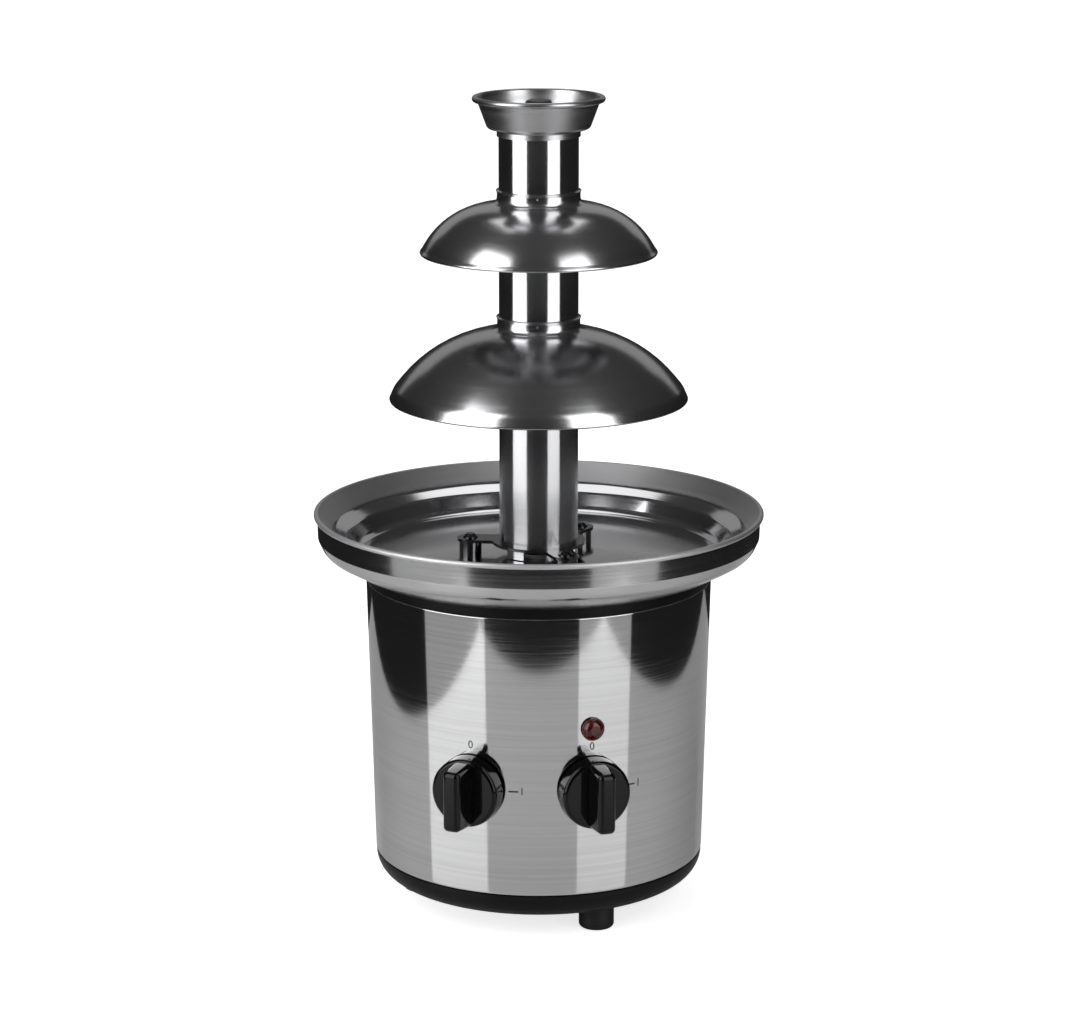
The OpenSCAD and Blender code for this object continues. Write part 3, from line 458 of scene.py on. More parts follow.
brass = new_finish("brass", (0.75, 0.58, 0.28), 1.0)
vary_roughness(brass, rings(brass, 1500, 20), 0.2, 0.34)

cast_aluminium = new_finish("cast_aluminium", (0.68, 0.68, 0.69), 1.0)
vary_roughness(cast_aluminium, mottle(cast_aluminium, 400), 0.4, 0.6)
engrave(cast_aluminium, mottle(cast_aluminium, 700), 0.03 * mm)

red_lens = new_finish("red_lens", (0.06, 0.003, 0.003), roughness=0.1, IOR=1.5)
vary_colour(red_lens, mottle(red_lens, 260), (0.02, 0.001, 0.001), (0.075, 0.004, 0.004))
engrave(red_lens, mottle(red_lens, 900, 1.0), 0.008 * mm)

mark_ink = new_finish("mark_ink", (0.03, 0.03, 0.03))
vary_roughness(mark_ink, mottle(mark_ink, 900), 0.4, 0.6)
print("finishes:", len(bpy.data.materials))

# %% [markdown]
# ## CAD nodes that stay
# Inner pieces, base plate, pegs and ears have the right shape already. Each one only takes the
# finish of its slot in the record.

# %% Dress the CAD nodes
finish_of_slot = {
    "polished_steel": polished_steel, "satin_steel": satin_steel,
    "brushed_steel": brushed_steel, "plated_steel": plated_steel,
    "black_plastic": black_plastic, "gloss_black_plastic": gloss_black,
    "black_rubber": black_rubber, "red_rubber": red_rubber,
    "dark_plastic": dark_plastic, "ivory_plastic": ivory_plastic,
    "brass": brass, "cast_aluminium": cast_aluminium, "red_lens": red_lens,
}
for part in frame["record"]["subparts"]:
    node = frame["nodes"][part["node"]]
    node.data.materials.clear()
    node.data.materials.append(finish_of_slot[part["material_slot"]])


def place(piece, body, slot, finish, *nodes):
    """Gives a piece its finish, the body it moves with and the CAD nodes it stands for."""
    piece.data.materials.clear()
    piece.data.materials.append(finish)
    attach(piece, body)
    if nodes:
        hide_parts(*nodes)
    print(piece.name, "on", body, len(piece.data.polygons), "faces")
    return piece


# %% [markdown]
# ## Crown
# The crown is a small flared cup that sits on the tube by a short sleeve. Its lip is rolled
# outwards. The line follows the sheet's outer face, and its end rolls round the inside of the lip,
# so that the wall given afterwards makes the lip's full bead.

# %% Spin the crown
crown_r, sleeve_low, lip_top = round_size("crown")
lip_bead_r, lip_roll = 1.4 * mm, -250
sleeve_h, sleeve_round = 3.4 * mm, 1 * mm
cup_floor_r, cup_floor_round = 24.3 * mm, 2.5 * mm
cup_floor = sleeve_low + sleeve_h
roll_in_r = lip_bead_r - sheet
lip_end = Vector((crown_r - lip_bead_r - roll_in_r, lip_top - lip_bead_r))
crown = spin_sheet("crown_cup", [
    (collar_r, sleeve_low, 0),
    (collar_r, cup_floor, sleeve_round),
    (cup_floor_r, cup_floor, cup_floor_round),
    (lip_end.x, lip_end.y, 0),
], sheet, roll_in_r, lip_roll)
place(crown, "tower", "satin_steel", cup_steel, "crown")

# %% [markdown]
# ## Canopies
# A canopy is a dome with an upturned collar that is spot-welded to the tube, and a hem turned
# under at its rim. Its line runs down the outer face, from a narrow lip that catches the light.
# The dome is one large bend, and the hem is a half turn inwards. Three shallow dimples round the
# collar are left by the welding tongs.

# %% Spin the canopies
collar_h, neck_round = 6 * mm, 3.5 * mm
collar_lip_w, collar_lip_h, collar_lip_round = 0.5 * mm, 1.2 * mm, 1 * mm
dome_slope = math.radians(9.6)
hem_r, hem_roll = 0.85 * mm, -175
weld_turns = (3, 123, 243)
weld_ball_r, weld_depth, weld_drop = 3 * mm, 0.2 * mm, 2 * mm


def weld_balls(level):
    """Three balls whose caps cut the weld dimples into a collar."""
    out = collar_r + weld_ball_r - weld_depth
    balls = []
    for turn in weld_turns:
        angle = math.radians(turn)
        bpy.ops.mesh.primitive_uv_sphere_add(segments=32, ring_count=16, radius=weld_ball_r)
        ball = bpy.context.object
        ball.location = (math.sin(angle) * out, -math.cos(angle) * out, level)
        bpy.ops.object.transform_apply(location=True)
        balls.append(ball)
    return balls


def spin_canopy(name, node, shoulder_in, edge_in, edge_h, dome_round):
    """A canopy whose dome bends at a shoulder and whose edge falls steeply to the hem."""
    rim_r, rim, collar_top = round_size(node)
    neck = collar_top - collar_h
    shoulder_r = rim_r - shoulder_in
    shoulder = neck - (shoulder_r - collar_r) * math.tan(dome_slope)
    edge_round = 2.5 * edge_h
    canopy = spin_sheet(name, [
        (collar_r + collar_lip_w, collar_top, 0),
        (collar_r, collar_top - collar_lip_h, collar_lip_round),
        (collar_r, neck, neck_round),
        (shoulder_r, shoulder, dome_round),
        (rim_r - edge_in, rim + hem_r + edge_h, edge_round),
        (rim_r, rim + hem_r, 0),
    ], -sheet, hem_r, hem_roll)
    return smooth(cut_away(canopy, *weld_balls(collar_top - weld_drop)))


lower_canopy = spin_canopy("lower_dome", "lower_canopy", shoulder_in=21.5 * mm, edge_in=2.0 * mm,
                           edge_h=4.6 * mm, dome_round=67 * mm)
upper_canopy = spin_canopy("upper_dome", "upper_canopy", shoulder_in=11.0 * mm, edge_in=0.9 * mm,
                           edge_h=1.2 * mm, dome_round=39 * mm)
place(lower_canopy, "tower", "satin_steel", satin_steel, "lower_canopy")
place(upper_canopy, "tower", "satin_steel", satin_steel, "upper_canopy")

# %% [markdown]
# ## Tower tube
# The tube carries canopies and crown, and lets the chocolate in through windows at its foot. It is
# a straight line turned round, with a ring of edges at the top of the windows. The faces of the
# windows are deleted before the wall is given, so the wall closes round each window by itself.

# %% Spin the tube and open its windows
window_h = 5.2 * mm
window_turns, half_window = (25, 145, 265), 45
window_top = tube_low + window_h
tube = turn_round(draw_profile("tube", [
    (tube_r, tube_low, 0), (tube_r, window_top, 0), (tube_r, tube_top, 0)]))
bpy.ops.object.mode_set(mode="EDIT")
bpy.ops.mesh.select_mode(type="FACE")
bpy.ops.mesh.select_all(action="DESELECT")
bpy.ops.object.mode_set(mode="OBJECT")
for face in tube.data.polygons:
    turn = math.degrees(math.atan2(face.center.x, -face.center.y))
    in_window = any(abs((turn - middle + 180) % 360 - 180) < half_window for middle in window_turns)
    face.select = in_window and face.center.z < window_top
bpy.ops.object.mode_set(mode="EDIT")
bpy.ops.mesh.delete(type="FACE")
bpy.ops.mesh.select_mode(type="VERT")
bpy.ops.object.mode_set(mode="OBJECT")
outward = tube.data.polygons[0].normal.dot(tube.data.polygons[0].center) > 0
apply_modifier(tube, "SOLIDIFY", thickness=sheet, offset=-1 if outward else 1)
place(smooth(tube), "tower", "polished_steel", turned_steel, "tower_tube")

# %% [markdown]
# ## Auger
# The auger is one black moulding: a core, a hub that drops over the drive, and a flight that winds
# up it like a screw. The core is turned from a line. The flight is a small rectangle that a Screw
# modifier carries up the core, and the hub's hexagonal socket is cut out at the end.

# %% Turn the core and wind the flight
flight_r, auger_low, auger_top = round_size("auger")
core_r, tip_round = 6.4 * mm, 1.5 * mm
hub_r, hub_h = 9 * mm, 16 * mm
edge_round = 0.5 * mm
auger = spin_solid("screw", [
    (0, auger_low, 0),
    (hub_r, auger_low, edge_round),
    (hub_r, auger_low + hub_h, 1 * mm),
    (core_r, auger_low + hub_h, 0.8 * mm),
    (core_r, auger_top, tip_round),
    (0, auger_top, 0),
])
flight_t, pitch, steps_per_turn = 2.2 * mm, 27 * mm, 48
flight_in_r = core_r - 0.8 * mm
climb = auger_top - tip_round - flight_t - auger_low
flight = draw_profile("flight", [
    (flight_in_r, auger_low, 0), (flight_r, auger_low, edge_round),
    (flight_r, auger_low + flight_t, edge_round), (flight_in_r, auger_low + flight_t, 0)])
bpy.ops.object.mode_set(mode="EDIT")
bpy.ops.mesh.select_all(action="SELECT")
bpy.ops.mesh.edge_face_add()
bpy.ops.object.mode_set(mode="OBJECT")
turns = climb / pitch
steps = round(steps_per_turn * turns)
apply_modifier(flight, "SCREW", angle=2 * math.pi * turns, screw_offset=climb,
               steps=steps, render_steps=steps, axis="Z")
print("flight: turns", round(turns, 2), "faces", len(flight.data.polygons))

# %% Join flight and core, and cut the socket
select_only(flight, auger)
bpy.ops.object.join()
bpy.ops.object.mode_set(mode="EDIT")
bpy.ops.mesh.select_all(action="SELECT")
bpy.ops.mesh.normals_make_consistent(inside=False)
bpy.ops.object.mode_set(mode="OBJECT")
socket_af, socket_h = 10.6 * mm, 12 * mm
socket_r = socket_af / 2 / math.cos(math.pi / 6)
bpy.ops.mesh.primitive_cylinder_add(vertices=6, radius=socket_r, depth=2 * socket_h,
                                    location=(0, 0, auger_low), rotation=(0, 0, math.pi / 6))
socket = bpy.context.object
bpy.ops.object.transform_apply(location=True, rotation=True)
place(smooth(cut_away(auger, socket)), "auger", "dark_plastic", dark_plastic, "auger")

# %% [markdown]
# ## Bowl and skirt
# The bowl has a flat floor, a sloping wall, a ledge and a flared wall with a rolled rim. Its well
# is polished up to the ledge, and the flare above is satin. The line follows its inner face, and
# the roll continues that face over the rim. The skirt is the polished outer wall. It creases below
# the rim and curves under to the insulating ring.

# %% Spin the bowl
bowl_r, bowl_low, rim_top = round_size("bowl")
rim_bead_r, rim_roll = 1.3 * mm, -265
hub_hole_r = 8.55 * mm
floor_in, wall_in, ledge_in = 20.2 * mm, 15.9 * mm, 9.4 * mm
wall_h, ledge_h = 8.8 * mm, 11.8 * mm
bowl_floor = bowl_low + sheet
ledge_out = Vector((bowl_r - ledge_in, bowl_floor + ledge_h))
rim_centre = Vector((bowl_r - rim_bead_r, rim_top - rim_bead_r))
flare = (rim_centre - ledge_out).normalized()
rim_end = rim_centre + left_of(flare) * rim_bead_r
bowl = spin_sheet("basin", [
    (hub_hole_r, bowl_floor, 0),
    (bowl_r - floor_in, bowl_floor, 5 * mm),
    (bowl_r - wall_in, bowl_floor + wall_h, 3 * mm),
    (ledge_out.x, ledge_out.y, 4 * mm),
    (rim_end.x, rim_end.y, 0),
], -sheet, rim_bead_r, rim_roll)
well_roughness, flare_roughness = (0.10, 0.15), (0.50, 0.58)
flare_start = ledge_out.y + 1 * mm
basin_steel = lathe_finish("basin_steel", steel_tone, 0.2)
step_roughness(basin_steel, rings(basin_steel, 1300, 10), flare_start,
               well_roughness, flare_roughness)
engrave(basin_steel, rings(basin_steel, 2400, 14), 0.0004 * mm)
place(bowl, "housing", "satin_steel", basin_steel, "bowl")

# %% Spin the skirt
skirt_r, skirt_low, skirt_top = round_size("bowl_skirt")
shell_r, shell_low, shell_top = round_size("body_shell")
rim_level = rim_top - rim_bead_r
band_top_in, crease_in, under_in = 0.8 * mm, 1.0 * mm, 4.5 * mm
crease_h, under_h = 10.8 * mm, 16.7 * mm
ring_out, ring_in = 3.6 * mm, 5 * mm
skirt = spin_sheet("basin_skirt", [
    (skirt_r - band_top_in, skirt_top, 0),
    (skirt_r - crease_in, rim_level - crease_h, 1.2 * mm),
    (bowl_r - under_in, rim_level - under_h, 8 * mm),
    (shell_r + ring_out, skirt_low, 10 * mm),
    (shell_r - ring_in, skirt_low, 0),
], -sheet)
place(skirt, "housing", "satin_steel", spun_steel, "bowl_skirt")

# %% [markdown]
# ## Insulating ring
# A black moulded ring keeps the bowl's heat from the housing. Only its band shows. It is turned
# from its whole section, with small roundings where the mould parts.

# %% Turn the insulating ring
ring_r, ring_low, ring_high = round_size("insulating_ring")
spigot_r = shell_r - 8.2 * mm
ring_in_r = spigot_r - 2 * mm
band_in_r = shell_r - 5.2 * mm
band_round = 0.4 * mm
ring = spin_solid("heat_ring", [
    (ring_in_r, ring_low, 0),
    (spigot_r, ring_low, 0),
    (spigot_r, shell_top, 0),
    (ring_r, shell_top, band_round),
    (ring_r, skirt_low, band_round),
    (band_in_r, skirt_low, 0),
    (band_in_r, ring_high, 0),
    (ring_in_r, ring_high, 0),
    (ring_in_r, ring_low, 0),
])
place(ring, "housing", "black_plastic", black_plastic, "insulating_ring")

# %% [markdown]
# ## Housing shell
# The housing is a slightly tapered sleeve of brushed sheet with lips turned in at both ends. It is
# spun like the other sheets. Extra rings of edges stand above and below each hole, so that the cut
# changes only the few faces that the knobs, the lamp and the bush cover.

# %% Find the panel's axes
def turn_axis(joint_name):
    """Outward direction and level of a knob, from its joint."""
    joint = next(j for j in frame["joints"] if j["name"] == joint_name)
    return -Vector(joint["axis"]), joint["pos_m"][2]


def middle_axis(node):
    """Outward direction and level of a round piece on the shell, from its own middle."""
    low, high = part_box(node)
    middle = (low + high) / 2
    return Vector((middle.x, middle.y, 0)).normalized(), middle.z


motor_axis, knob_level = turn_axis("motor_knob_turn")
heat_axis, _ = turn_axis("heat_knob_turn")
lamp_axis, lamp_level = middle_axis("lamp_lens")
inlet_axis, inlet_level = middle_axis("inlet_bush")
print("knobs at", round(knob_level / mm, 1), "lamp at", round(lamp_level / mm, 1),
      "inlet at", round(inlet_level / mm, 1))


# %% Helpers for pieces on the panel
drill_depth, drill_in = 30 * mm, 3 * mm


def stand_on(piece, axis, level, distance):
    """Moves a piece made along Z out to the panel, its Y up and its Z along the axis."""
    turn = math.atan2(axis.x, -axis.y)
    upright = Matrix.Rotation(turn, 4, "Z") @ Matrix.Rotation(math.pi / 2, 4, "X")
    piece.matrix_world = (Matrix.Translation((0, 0, level)) @ upright
                          @ Matrix.Translation((0, 0, distance)))
    select_only(piece)
    bpy.ops.object.transform_apply(location=True, rotation=True, scale=True)
    return piece


def drill(axis, level, radius):
    """A round cutter through the shell along an axis."""
    bpy.ops.mesh.primitive_cylinder_add(vertices=64, radius=radius, depth=drill_depth)
    return stand_on(bpy.context.object, axis, level, shell_r - drill_in)


# %% Spin and drill the shell
taper, shell_lip_w = 3.5 * mm, 8 * mm
shell_h = shell_top - shell_low
knob_hole_r, lamp_hole_r, inlet_hole_r = 5.05 * mm, 4.55 * mm, 6.45 * mm
holes = [(motor_axis, knob_level, knob_hole_r), (heat_axis, knob_level, knob_hole_r),
         (lamp_axis, lamp_level, lamp_hole_r), (inlet_axis, inlet_level, inlet_hole_r)]
clear_of_hole = 1.04
bands = sorted({level + side * clear_of_hole * radius
                for _, level, radius in holes for side in (-1, 1)})
shell_foot_r = shell_r - taper
shell_line = [(shell_foot_r - shell_lip_w, shell_low, 0), (shell_foot_r, shell_low, 1.6 * mm)]
shell_line += [(shell_r - taper * (shell_top - z) / shell_h, z, 0) for z in bands]
shell_line += [(shell_r, shell_top, 0.4 * mm), (shell_r - shell_lip_w, shell_top, 0)]
shell = spin_sheet("housing_shell", shell_line, sheet)
cut_away(shell, *[drill(*hole) for hole in holes])
place(smooth(shell), "housing", "brushed_steel", brushed_steel, "body_shell")

# %% [markdown]
# ## Knobs
# A knob is a glossy black disc with a tall grip fin across it. The disc is turned from a line with
# a hollow back. The fin starts as a cube: its top is drawn in, its edges are bevelled, and it is
# united with the disc. The second knob is a copy with its own mesh, turned to its place.

# %% Model one knob along Z
knob_back, fin_front = reach_along("motor_knob", motor_axis)
side_way = Vector((-motor_axis.y, motor_axis.x, 0))
knob_left, knob_right = reach_along("motor_knob", side_way)
knob_r = (knob_right - knob_left) / 2
disc_h, disc_t, disc_draft = 8 * mm, 2 * mm, 0.5 * mm
hollow_r, hollow_top = knob_r - 1.8 * mm, disc_h - disc_t
knob = spin_solid("knob", [
    (0, hollow_top, 0),
    (hollow_r, hollow_top, 0.8 * mm),
    (hollow_r, 0, 0.3 * mm),
    (knob_r, 0, 0.6 * mm),
    (knob_r - disc_draft, disc_h, 2 * mm),
    (0, disc_h, 0),
])
fin_foot_w, fin_ridge_w, fin_round = 9.4 * mm, 8.4 * mm, 2.4 * mm
fin_sunk, fin_end_in, ridge_end_in = 1 * mm, 0.6 * mm, 1.2 * mm
fin_low, fin_top = disc_h - fin_sunk, fin_front - knob_back
fin_half = math.sqrt((knob_r - fin_end_in) ** 2 - (fin_foot_w / 2) ** 2)
bpy.ops.mesh.primitive_cube_add(size=1, location=(0, 0, (fin_low + fin_top) / 2))
fin = bpy.context.object
fin.scale = (fin_foot_w, 2 * fin_half, fin_top - fin_low)
bpy.ops.object.transform_apply(location=True, scale=True)
for corner in fin.data.vertices:
    corner.select = corner.co.z > (fin_low + fin_top) / 2
for group in (fin.data.edges, fin.data.polygons):
    for element in group:
        element.select = all(fin.data.vertices[v].select for v in element.vertices)
bpy.ops.object.mode_set(mode="EDIT")
bpy.ops.transform.resize(value=(fin_ridge_w / fin_foot_w, 1 - ridge_end_in / fin_half, 1),
                         center_override=(0, 0, fin_top))
bpy.ops.object.mode_set(mode="OBJECT")
print("fin:", [round(v / mm, 1) for v in fin.dimensions])

# %% Round the fin, unite it with the disc and make the second knob
apply_modifier(fin, "BEVEL", width=fin_round, segments=8, limit_method="NONE")
apply_modifier(knob, "BOOLEAN", object=fin, operation="UNION", solver="EXACT")
bpy.data.objects.remove(fin)
knob.name = "motor_grip"
heat_knob = stand_on(twin(knob, "heat_grip"), heat_axis, knob_level, knob_back)
motor_knob = stand_on(knob, motor_axis, knob_level, knob_back)
place(smooth(motor_knob, 30), "motor_control", "gloss_black_plastic", gloss_black, "motor_knob")
place(smooth(heat_knob, 30), "heat_control", "gloss_black_plastic", gloss_black, "heat_knob")

# %% [markdown]
# ## Pilot lamp and inlet bush
# The lamp is a small red lens with a flat rim, and the bush at the back holds the mains lead's
# place. Both are turned along Z and then stood on the shell.

# %% Turn lens and bush
lens_back, lens_front = reach_along("lamp_lens", lamp_axis)
lens_h = lens_front - lens_back
lens_rim_r, lens_rim_t = 5.6 * mm, 1 * mm
dome_foot_r, dome_top_r = 4.9 * mm, 4.2 * mm
lens = spin_solid("pilot_lens", [
    (0, 0, 0),
    (lens_rim_r, 0, 0.2 * mm),
    (lens_rim_r, lens_rim_t, 0.4 * mm),
    (dome_foot_r, lens_rim_t, 0.1 * mm),
    (dome_top_r, lens_h, 3.0 * mm),
    (0, lens_h, 0),
])
stand_on(lens, lamp_axis, lamp_level, lens_back)
place(lens, "housing", "red_lens", red_lens, "lamp_lens")

bush_back, bush_front = reach_along("inlet_bush", inlet_axis)
neck_r, bore_r, flange_t = 6.4 * mm, 3.6 * mm, 2.5 * mm
flange_r, flange_face_r = neck_r + 3 * mm, neck_r + 2 * mm
seat = bush_front - bush_back - flange_t
bush = spin_solid("lead_bush", [
    (bore_r, 0, 0),
    (neck_r, 0, 0.4 * mm),
    (neck_r, seat, 0),
    (flange_r, seat, 0.4 * mm),
    (flange_face_r, seat + flange_t, 1 * mm),
    (bore_r, seat + flange_t, 0.6 * mm),
    (bore_r, 0, 0),
])
stand_on(bush, inlet_axis, inlet_level, bush_back)
place(bush, "housing", "gloss_black_plastic", gloss_black, "inlet_bush")

# %% [markdown]
# ## Levelling feet
# Each foot is a plain rubber pad, hollowed a little below, on a stud that disappears into the base.
# One foot is turned on the axis and copied to the three places that the frame gives.

# %% Turn the feet
pad_r, stud_r, hollow = 8.5 * mm, 3 * mm, 0.6 * mm
under_base = 0.4 * mm
pad_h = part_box("base_plate")[0].z - under_base
foot_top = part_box("foot_1")[1].z
foot = spin_solid("foot", [
    (0, hollow, 0),
    (pad_r - 3 * mm, hollow, 0.2 * mm),
    (pad_r - 2.6 * mm, 0, 0.2 * mm),
    (pad_r, 0, 2 * mm),
    (pad_r, pad_h, 0.8 * mm),
    (stud_r, pad_h, 0),
    (stud_r, foot_top, 0.5 * mm),
    (0, foot_top, 0),
])
foot_bodies = {"foot_1": "right_front_foot", "foot_2": "right_rear_foot", "foot_3": "left_foot"}
for node, body in foot_bodies.items():
    pad = twin(foot, node + "_pad")
    low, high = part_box(node)
    pad.location = ((low.x + high.x) / 2, (low.y + high.y) / 2, low.z)
    select_only(pad)
    bpy.ops.object.transform_apply(location=True)
    place(pad, body, "black_rubber", black_rubber, node)
bpy.data.objects.remove(foot)

# %% [markdown]
# ## Printed marks
# Plain marks by the knobs tell off from on: a 0 above each knob and a 1 beside it, with a short
# stroke that points to the knob. Text is set flat on the panel, made a mesh, and wrapped onto the
# shell with a Shrinkwrap modifier that leaves it a hair above the steel.

# %% Helpers for marks
ink_height, set_off = 0.03 * mm, 1 * mm
figure_size = 5.5 * mm


def wrap_on_shell(mark, axis, level):
    """Stands a flat mark on the panel and lays it on the shell."""
    stand_on(mark, axis, level, shell_r + set_off)
    apply_modifier(mark, "SUBSURF", subdivision_type="SIMPLE", levels=2, render_levels=2)
    apply_modifier(mark, "SHRINKWRAP", target=shell, wrap_method="NEAREST_SURFACEPOINT",
                   wrap_mode="ABOVE_SURFACE", offset=ink_height)
    return mark


def numeral(name, figure, x, y):
    """A figure as a flat mesh about a place on the panel."""
    bpy.ops.object.text_add()
    text = bpy.context.object
    text.name = name
    text.data.body = figure
    text.data.size = figure_size
    text.data.align_x = "CENTER"
    text.data.align_y = "CENTER"
    text.location = (x, y, 0)
    bpy.ops.object.convert(target="MESH")
    bpy.ops.object.transform_apply(location=True)
    return bpy.context.object


def stroke(name, x, y, width, height):
    """A flat bar about a place on the panel."""
    bpy.ops.mesh.primitive_plane_add(size=1, location=(x, y, 0))
    mark = bpy.context.object
    mark.name = name
    mark.scale = (width, height, 1)
    bpy.ops.object.transform_apply(location=True, scale=True)
    return mark


# %% Print the marks
above_knob, beside_stroke = knob_r + 4.6 * mm, knob_r + 9.6 * mm
stroke_x, stroke_w, stroke_h = knob_r + 5.0 * mm, 5.0 * mm, 0.8 * mm
for knob_name, axis in (("motor", motor_axis), ("heat", heat_axis)):
    marks = (numeral(knob_name + "_mark_0", "0", 0, above_knob),
             numeral(knob_name + "_mark_1", "1", beside_stroke, 0),
             stroke(knob_name + "_mark_stroke", stroke_x, 0, stroke_w, stroke_h))
    for mark in marks:
        place(wrap_on_shell(mark, axis, knob_level), "housing", "black_plastic", mark_ink)

# %% [markdown]
# ## Studio
# The object stands on a white table between two tall softboxes, with a dark room around. Polished
# steel is only as good as what it mirrors: the softboxes draw the bright stripes on tube and
# housing, the room leaves the dark ones, and the glossy tabletop repeats the stripes low down.
# A dim backdrop behind and a panel overhead light up the inside of the bowl.
# The camera sees a plain white floor that takes the object's shadow.

# %% Camera
view_turn = math.radians(2.6)
stand_off, eye_level, look_down = 1.6115, 0.5843, 13.596
focal_length, sensor_width, sideways = 114.05, 36, 0.0012


def around(turn, distance, level):
    """A place at a turn from the camera's own direction, a distance out and a level up."""
    angle = view_turn + turn
    return Vector((math.sin(angle) * distance, -math.cos(angle) * distance, level))


bpy.ops.object.camera_add(location=around(0, stand_off, eye_level),
                          rotation=(math.radians(90 - look_down), 0, view_turn))
camera = bpy.context.object
camera.data.sensor_width = sensor_width
camera.data.lens = focal_length
camera.data.shift_x = sideways
bpy.context.scene.camera = camera
bpy.context.scene.view_settings.view_transform = "Standard"
print("camera at", [round(v, 3) for v in camera.location], "lens", focal_length, "mm")

# %% Softboxes
left_span, right_span = (-79, -35), (26, 62)
box_out, box_levels = 1.3, (0, 2.1)
stand_levels, stand_radiance = (-0.8, 0), 0.42
panel_out, panel_rise, panel_aim = 1.5, math.radians(63), 0.19


def softbox(name, span, distance, levels, radiance):
    """A rectangle of light that faces the tower, between two turns and two levels."""
    turn_from, turn_to = span
    low, high = levels
    middle = math.radians((turn_from + turn_to) / 2)
    width = 2 * distance * math.tan(math.radians(turn_to - turn_from) / 2)
    bpy.ops.object.light_add(type="AREA", location=around(middle, distance, (low + high) / 2),
                             rotation=(math.pi / 2, 0, view_turn + middle))
    lamp = bpy.context.object
    lamp.name = name
    lamp.data.shape = "RECTANGLE"
    lamp.data.size, lamp.data.size_y = width, high - low
    lamp.data.energy = radiance * math.pi * width * (high - low)
    lamp.visible_camera = False
    print(name, round(width, 2), "x", round(high - low, 2), "m", round(lamp.data.energy, 1), "W")
    return lamp


softbox("left_softbox", left_span, box_out, box_levels, 3.5)
softbox("right_softbox", right_span, box_out, box_levels, 2.7)
softbox("left_stand", left_span, box_out, stand_levels, stand_radiance)
softbox("right_stand", right_span, box_out, stand_levels, stand_radiance)
softbox("backdrop", (145, 215), 1.7, (0.58, 1.2), 0.3)
top_panel = softbox("top_panel", (165, 195), panel_out, (0, 0.75), 1.3)
top_panel.location = around(math.pi, panel_out * math.cos(panel_rise),
                            panel_aim + panel_out * math.sin(panel_rise))
top_panel.rotation_euler.x = math.pi / 2 - panel_rise

# %% [markdown]
# ### Floor, table and dark room
# Three stage pieces share the work. The floor is what the camera sees: it glows white, and shows
# the shadow through a share of plain diffuse paint. The table is what the steel sees: a white
# glossy board that ends half a metre out. The room is a dark dome, seen by the steel alone, which
# hides the white world from it. So the steel mirrors a dark room and not the white background.

# %% Helpers for the stage
def stage_plane(name, paint, turn, size_x, size_y, x, y):
    """A flat board, turned, and moved sideways and back from the tower."""
    bpy.ops.mesh.primitive_plane_add(size=1)
    board = bpy.context.object
    board.name = name
    board.scale = (size_x, size_y, 1)
    board.location = around(0, -y, 0) + Vector((math.cos(turn) * x, math.sin(turn) * x, 0))
    board.rotation_euler = (0, 0, turn)
    bpy.ops.object.transform_apply(location=True, rotation=True, scale=True)
    board.data.materials.append(paint)
    return board


def show_to_steel_alone(piece):
    """Leaves a stage piece to glossy rays, and hides it from all others."""
    piece.visible_camera = piece.visible_diffuse = False
    piece.visible_shadow = piece.visible_transmission = False


def seen_rays(owner):
    """1 for a ray from the camera, off metal or through glass, and 0 for any other."""
    rays = link_new(owner, "ShaderNodeLightPath").outputs
    seen = rays["Is Camera Ray"]
    for kind in ("Is Glossy Ray", "Is Transmission Ray"):
        total = link_new(owner, "ShaderNodeMath", seen, operation="ADD", use_clamp=True)
        wire(owner, rays[kind], total.inputs[1])
        seen = total.outputs[0]
    return seen


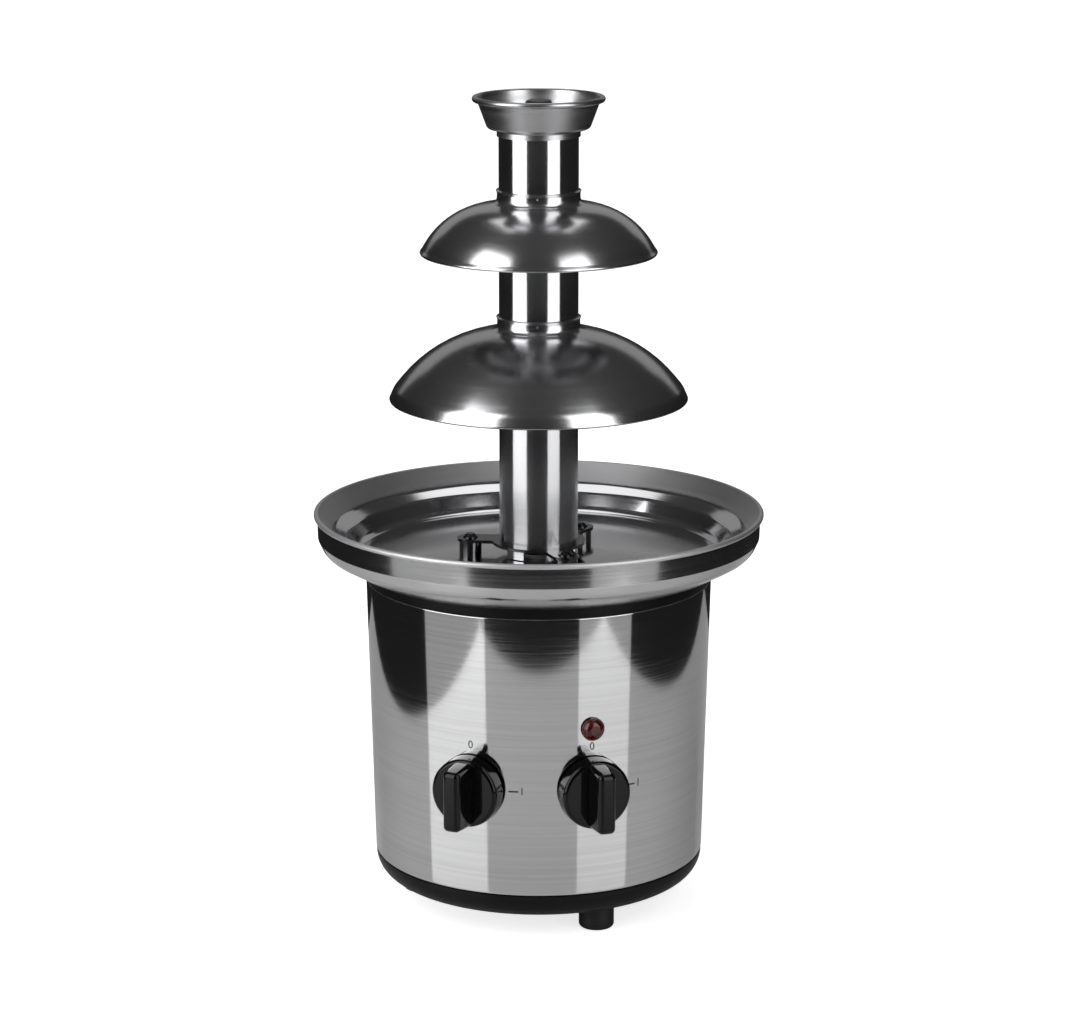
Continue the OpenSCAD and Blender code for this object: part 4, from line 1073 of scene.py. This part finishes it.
# %% Floor and table
pale_paint = (0.8, 0.8, 0.8)
glow_near, glow_far = 0.74, 1.0
fade_from, fade_to = 0.15, 0.9
floor_paint = new_finish("floor_paint", pale_paint, roughness=0.9, Specular_IOR_Level=0.0)
out_from = link_new(floor_paint, "ShaderNodeVectorMath", object_place(floor_paint),
                    operation="LENGTH").outputs["Value"]
fade = map_range(floor_paint, out_from, fade_from, fade_to, glow_near, glow_far)
share = link_new(floor_paint, "ShaderNodeMath", fade, operation="MULTIPLY")
wire(floor_paint, seen_rays(floor_paint), share.inputs[1])
glow = link_new(floor_paint, "ShaderNodeEmission", share.outputs[0], "Strength")
both = link_new(floor_paint, "ShaderNodeAddShader", shader_of(floor_paint).outputs[0])
wire(floor_paint, glow.outputs[0], both.inputs[1])
wire(floor_paint, both.outputs[0], surface_of(floor_paint))
floor_size = 24
floor = stage_plane("floor", floor_paint, 0, floor_size, floor_size, 0, 0)
floor.visible_glossy = False

table_w, table_d = 0.80, 0.965
table_right, table_back = 0.03, -0.0155
table_paint = new_finish("table_paint", pale_paint, roughness=0.08, IOR=1.5)
table = stage_plane("table", table_paint, view_turn, table_w, table_d, table_right, table_back)
table.location.z = 0.5 * mm
show_to_steel_alone(table)
print("table", [round(v, 3) for v in table.dimensions])

# %% Dark room and world
room_r = 4
dim_from, dim_low, dim_high = 0.5, 0.016, 0.07
bpy.ops.mesh.primitive_uv_sphere_add(segments=64, ring_count=32, radius=room_r)
room = bpy.context.object
room.name = "dark_room"
room_paint = new_finish("room_paint", (0, 0, 0), roughness=1.0, Specular_IOR_Level=0.0)
dim = map_range(room_paint, object_level(room_paint), dim_from, room_r, dim_low, dim_high)
room_glow = link_new(room_paint, "ShaderNodeEmission", dim, "Strength")
wire(room_paint, room_glow.outputs[0], surface_of(room_paint))
room.data.materials.append(room_paint)
show_to_steel_alone(room)

fill_level, white_level = 0.15, 1.0
world = bpy.data.worlds.new("white_studio")
bpy.context.scene.world = world
world.use_nodes = True
background = world.node_tree.nodes["Background"]
background.inputs["Color"].default_value = (1, 1, 1, 1)
world_level = map_range(world, seen_rays(world), 0, 1, fill_level, white_level)
wire(world, world_level, background.inputs["Strength"])
print("room", room_r, "m, world", world.name)
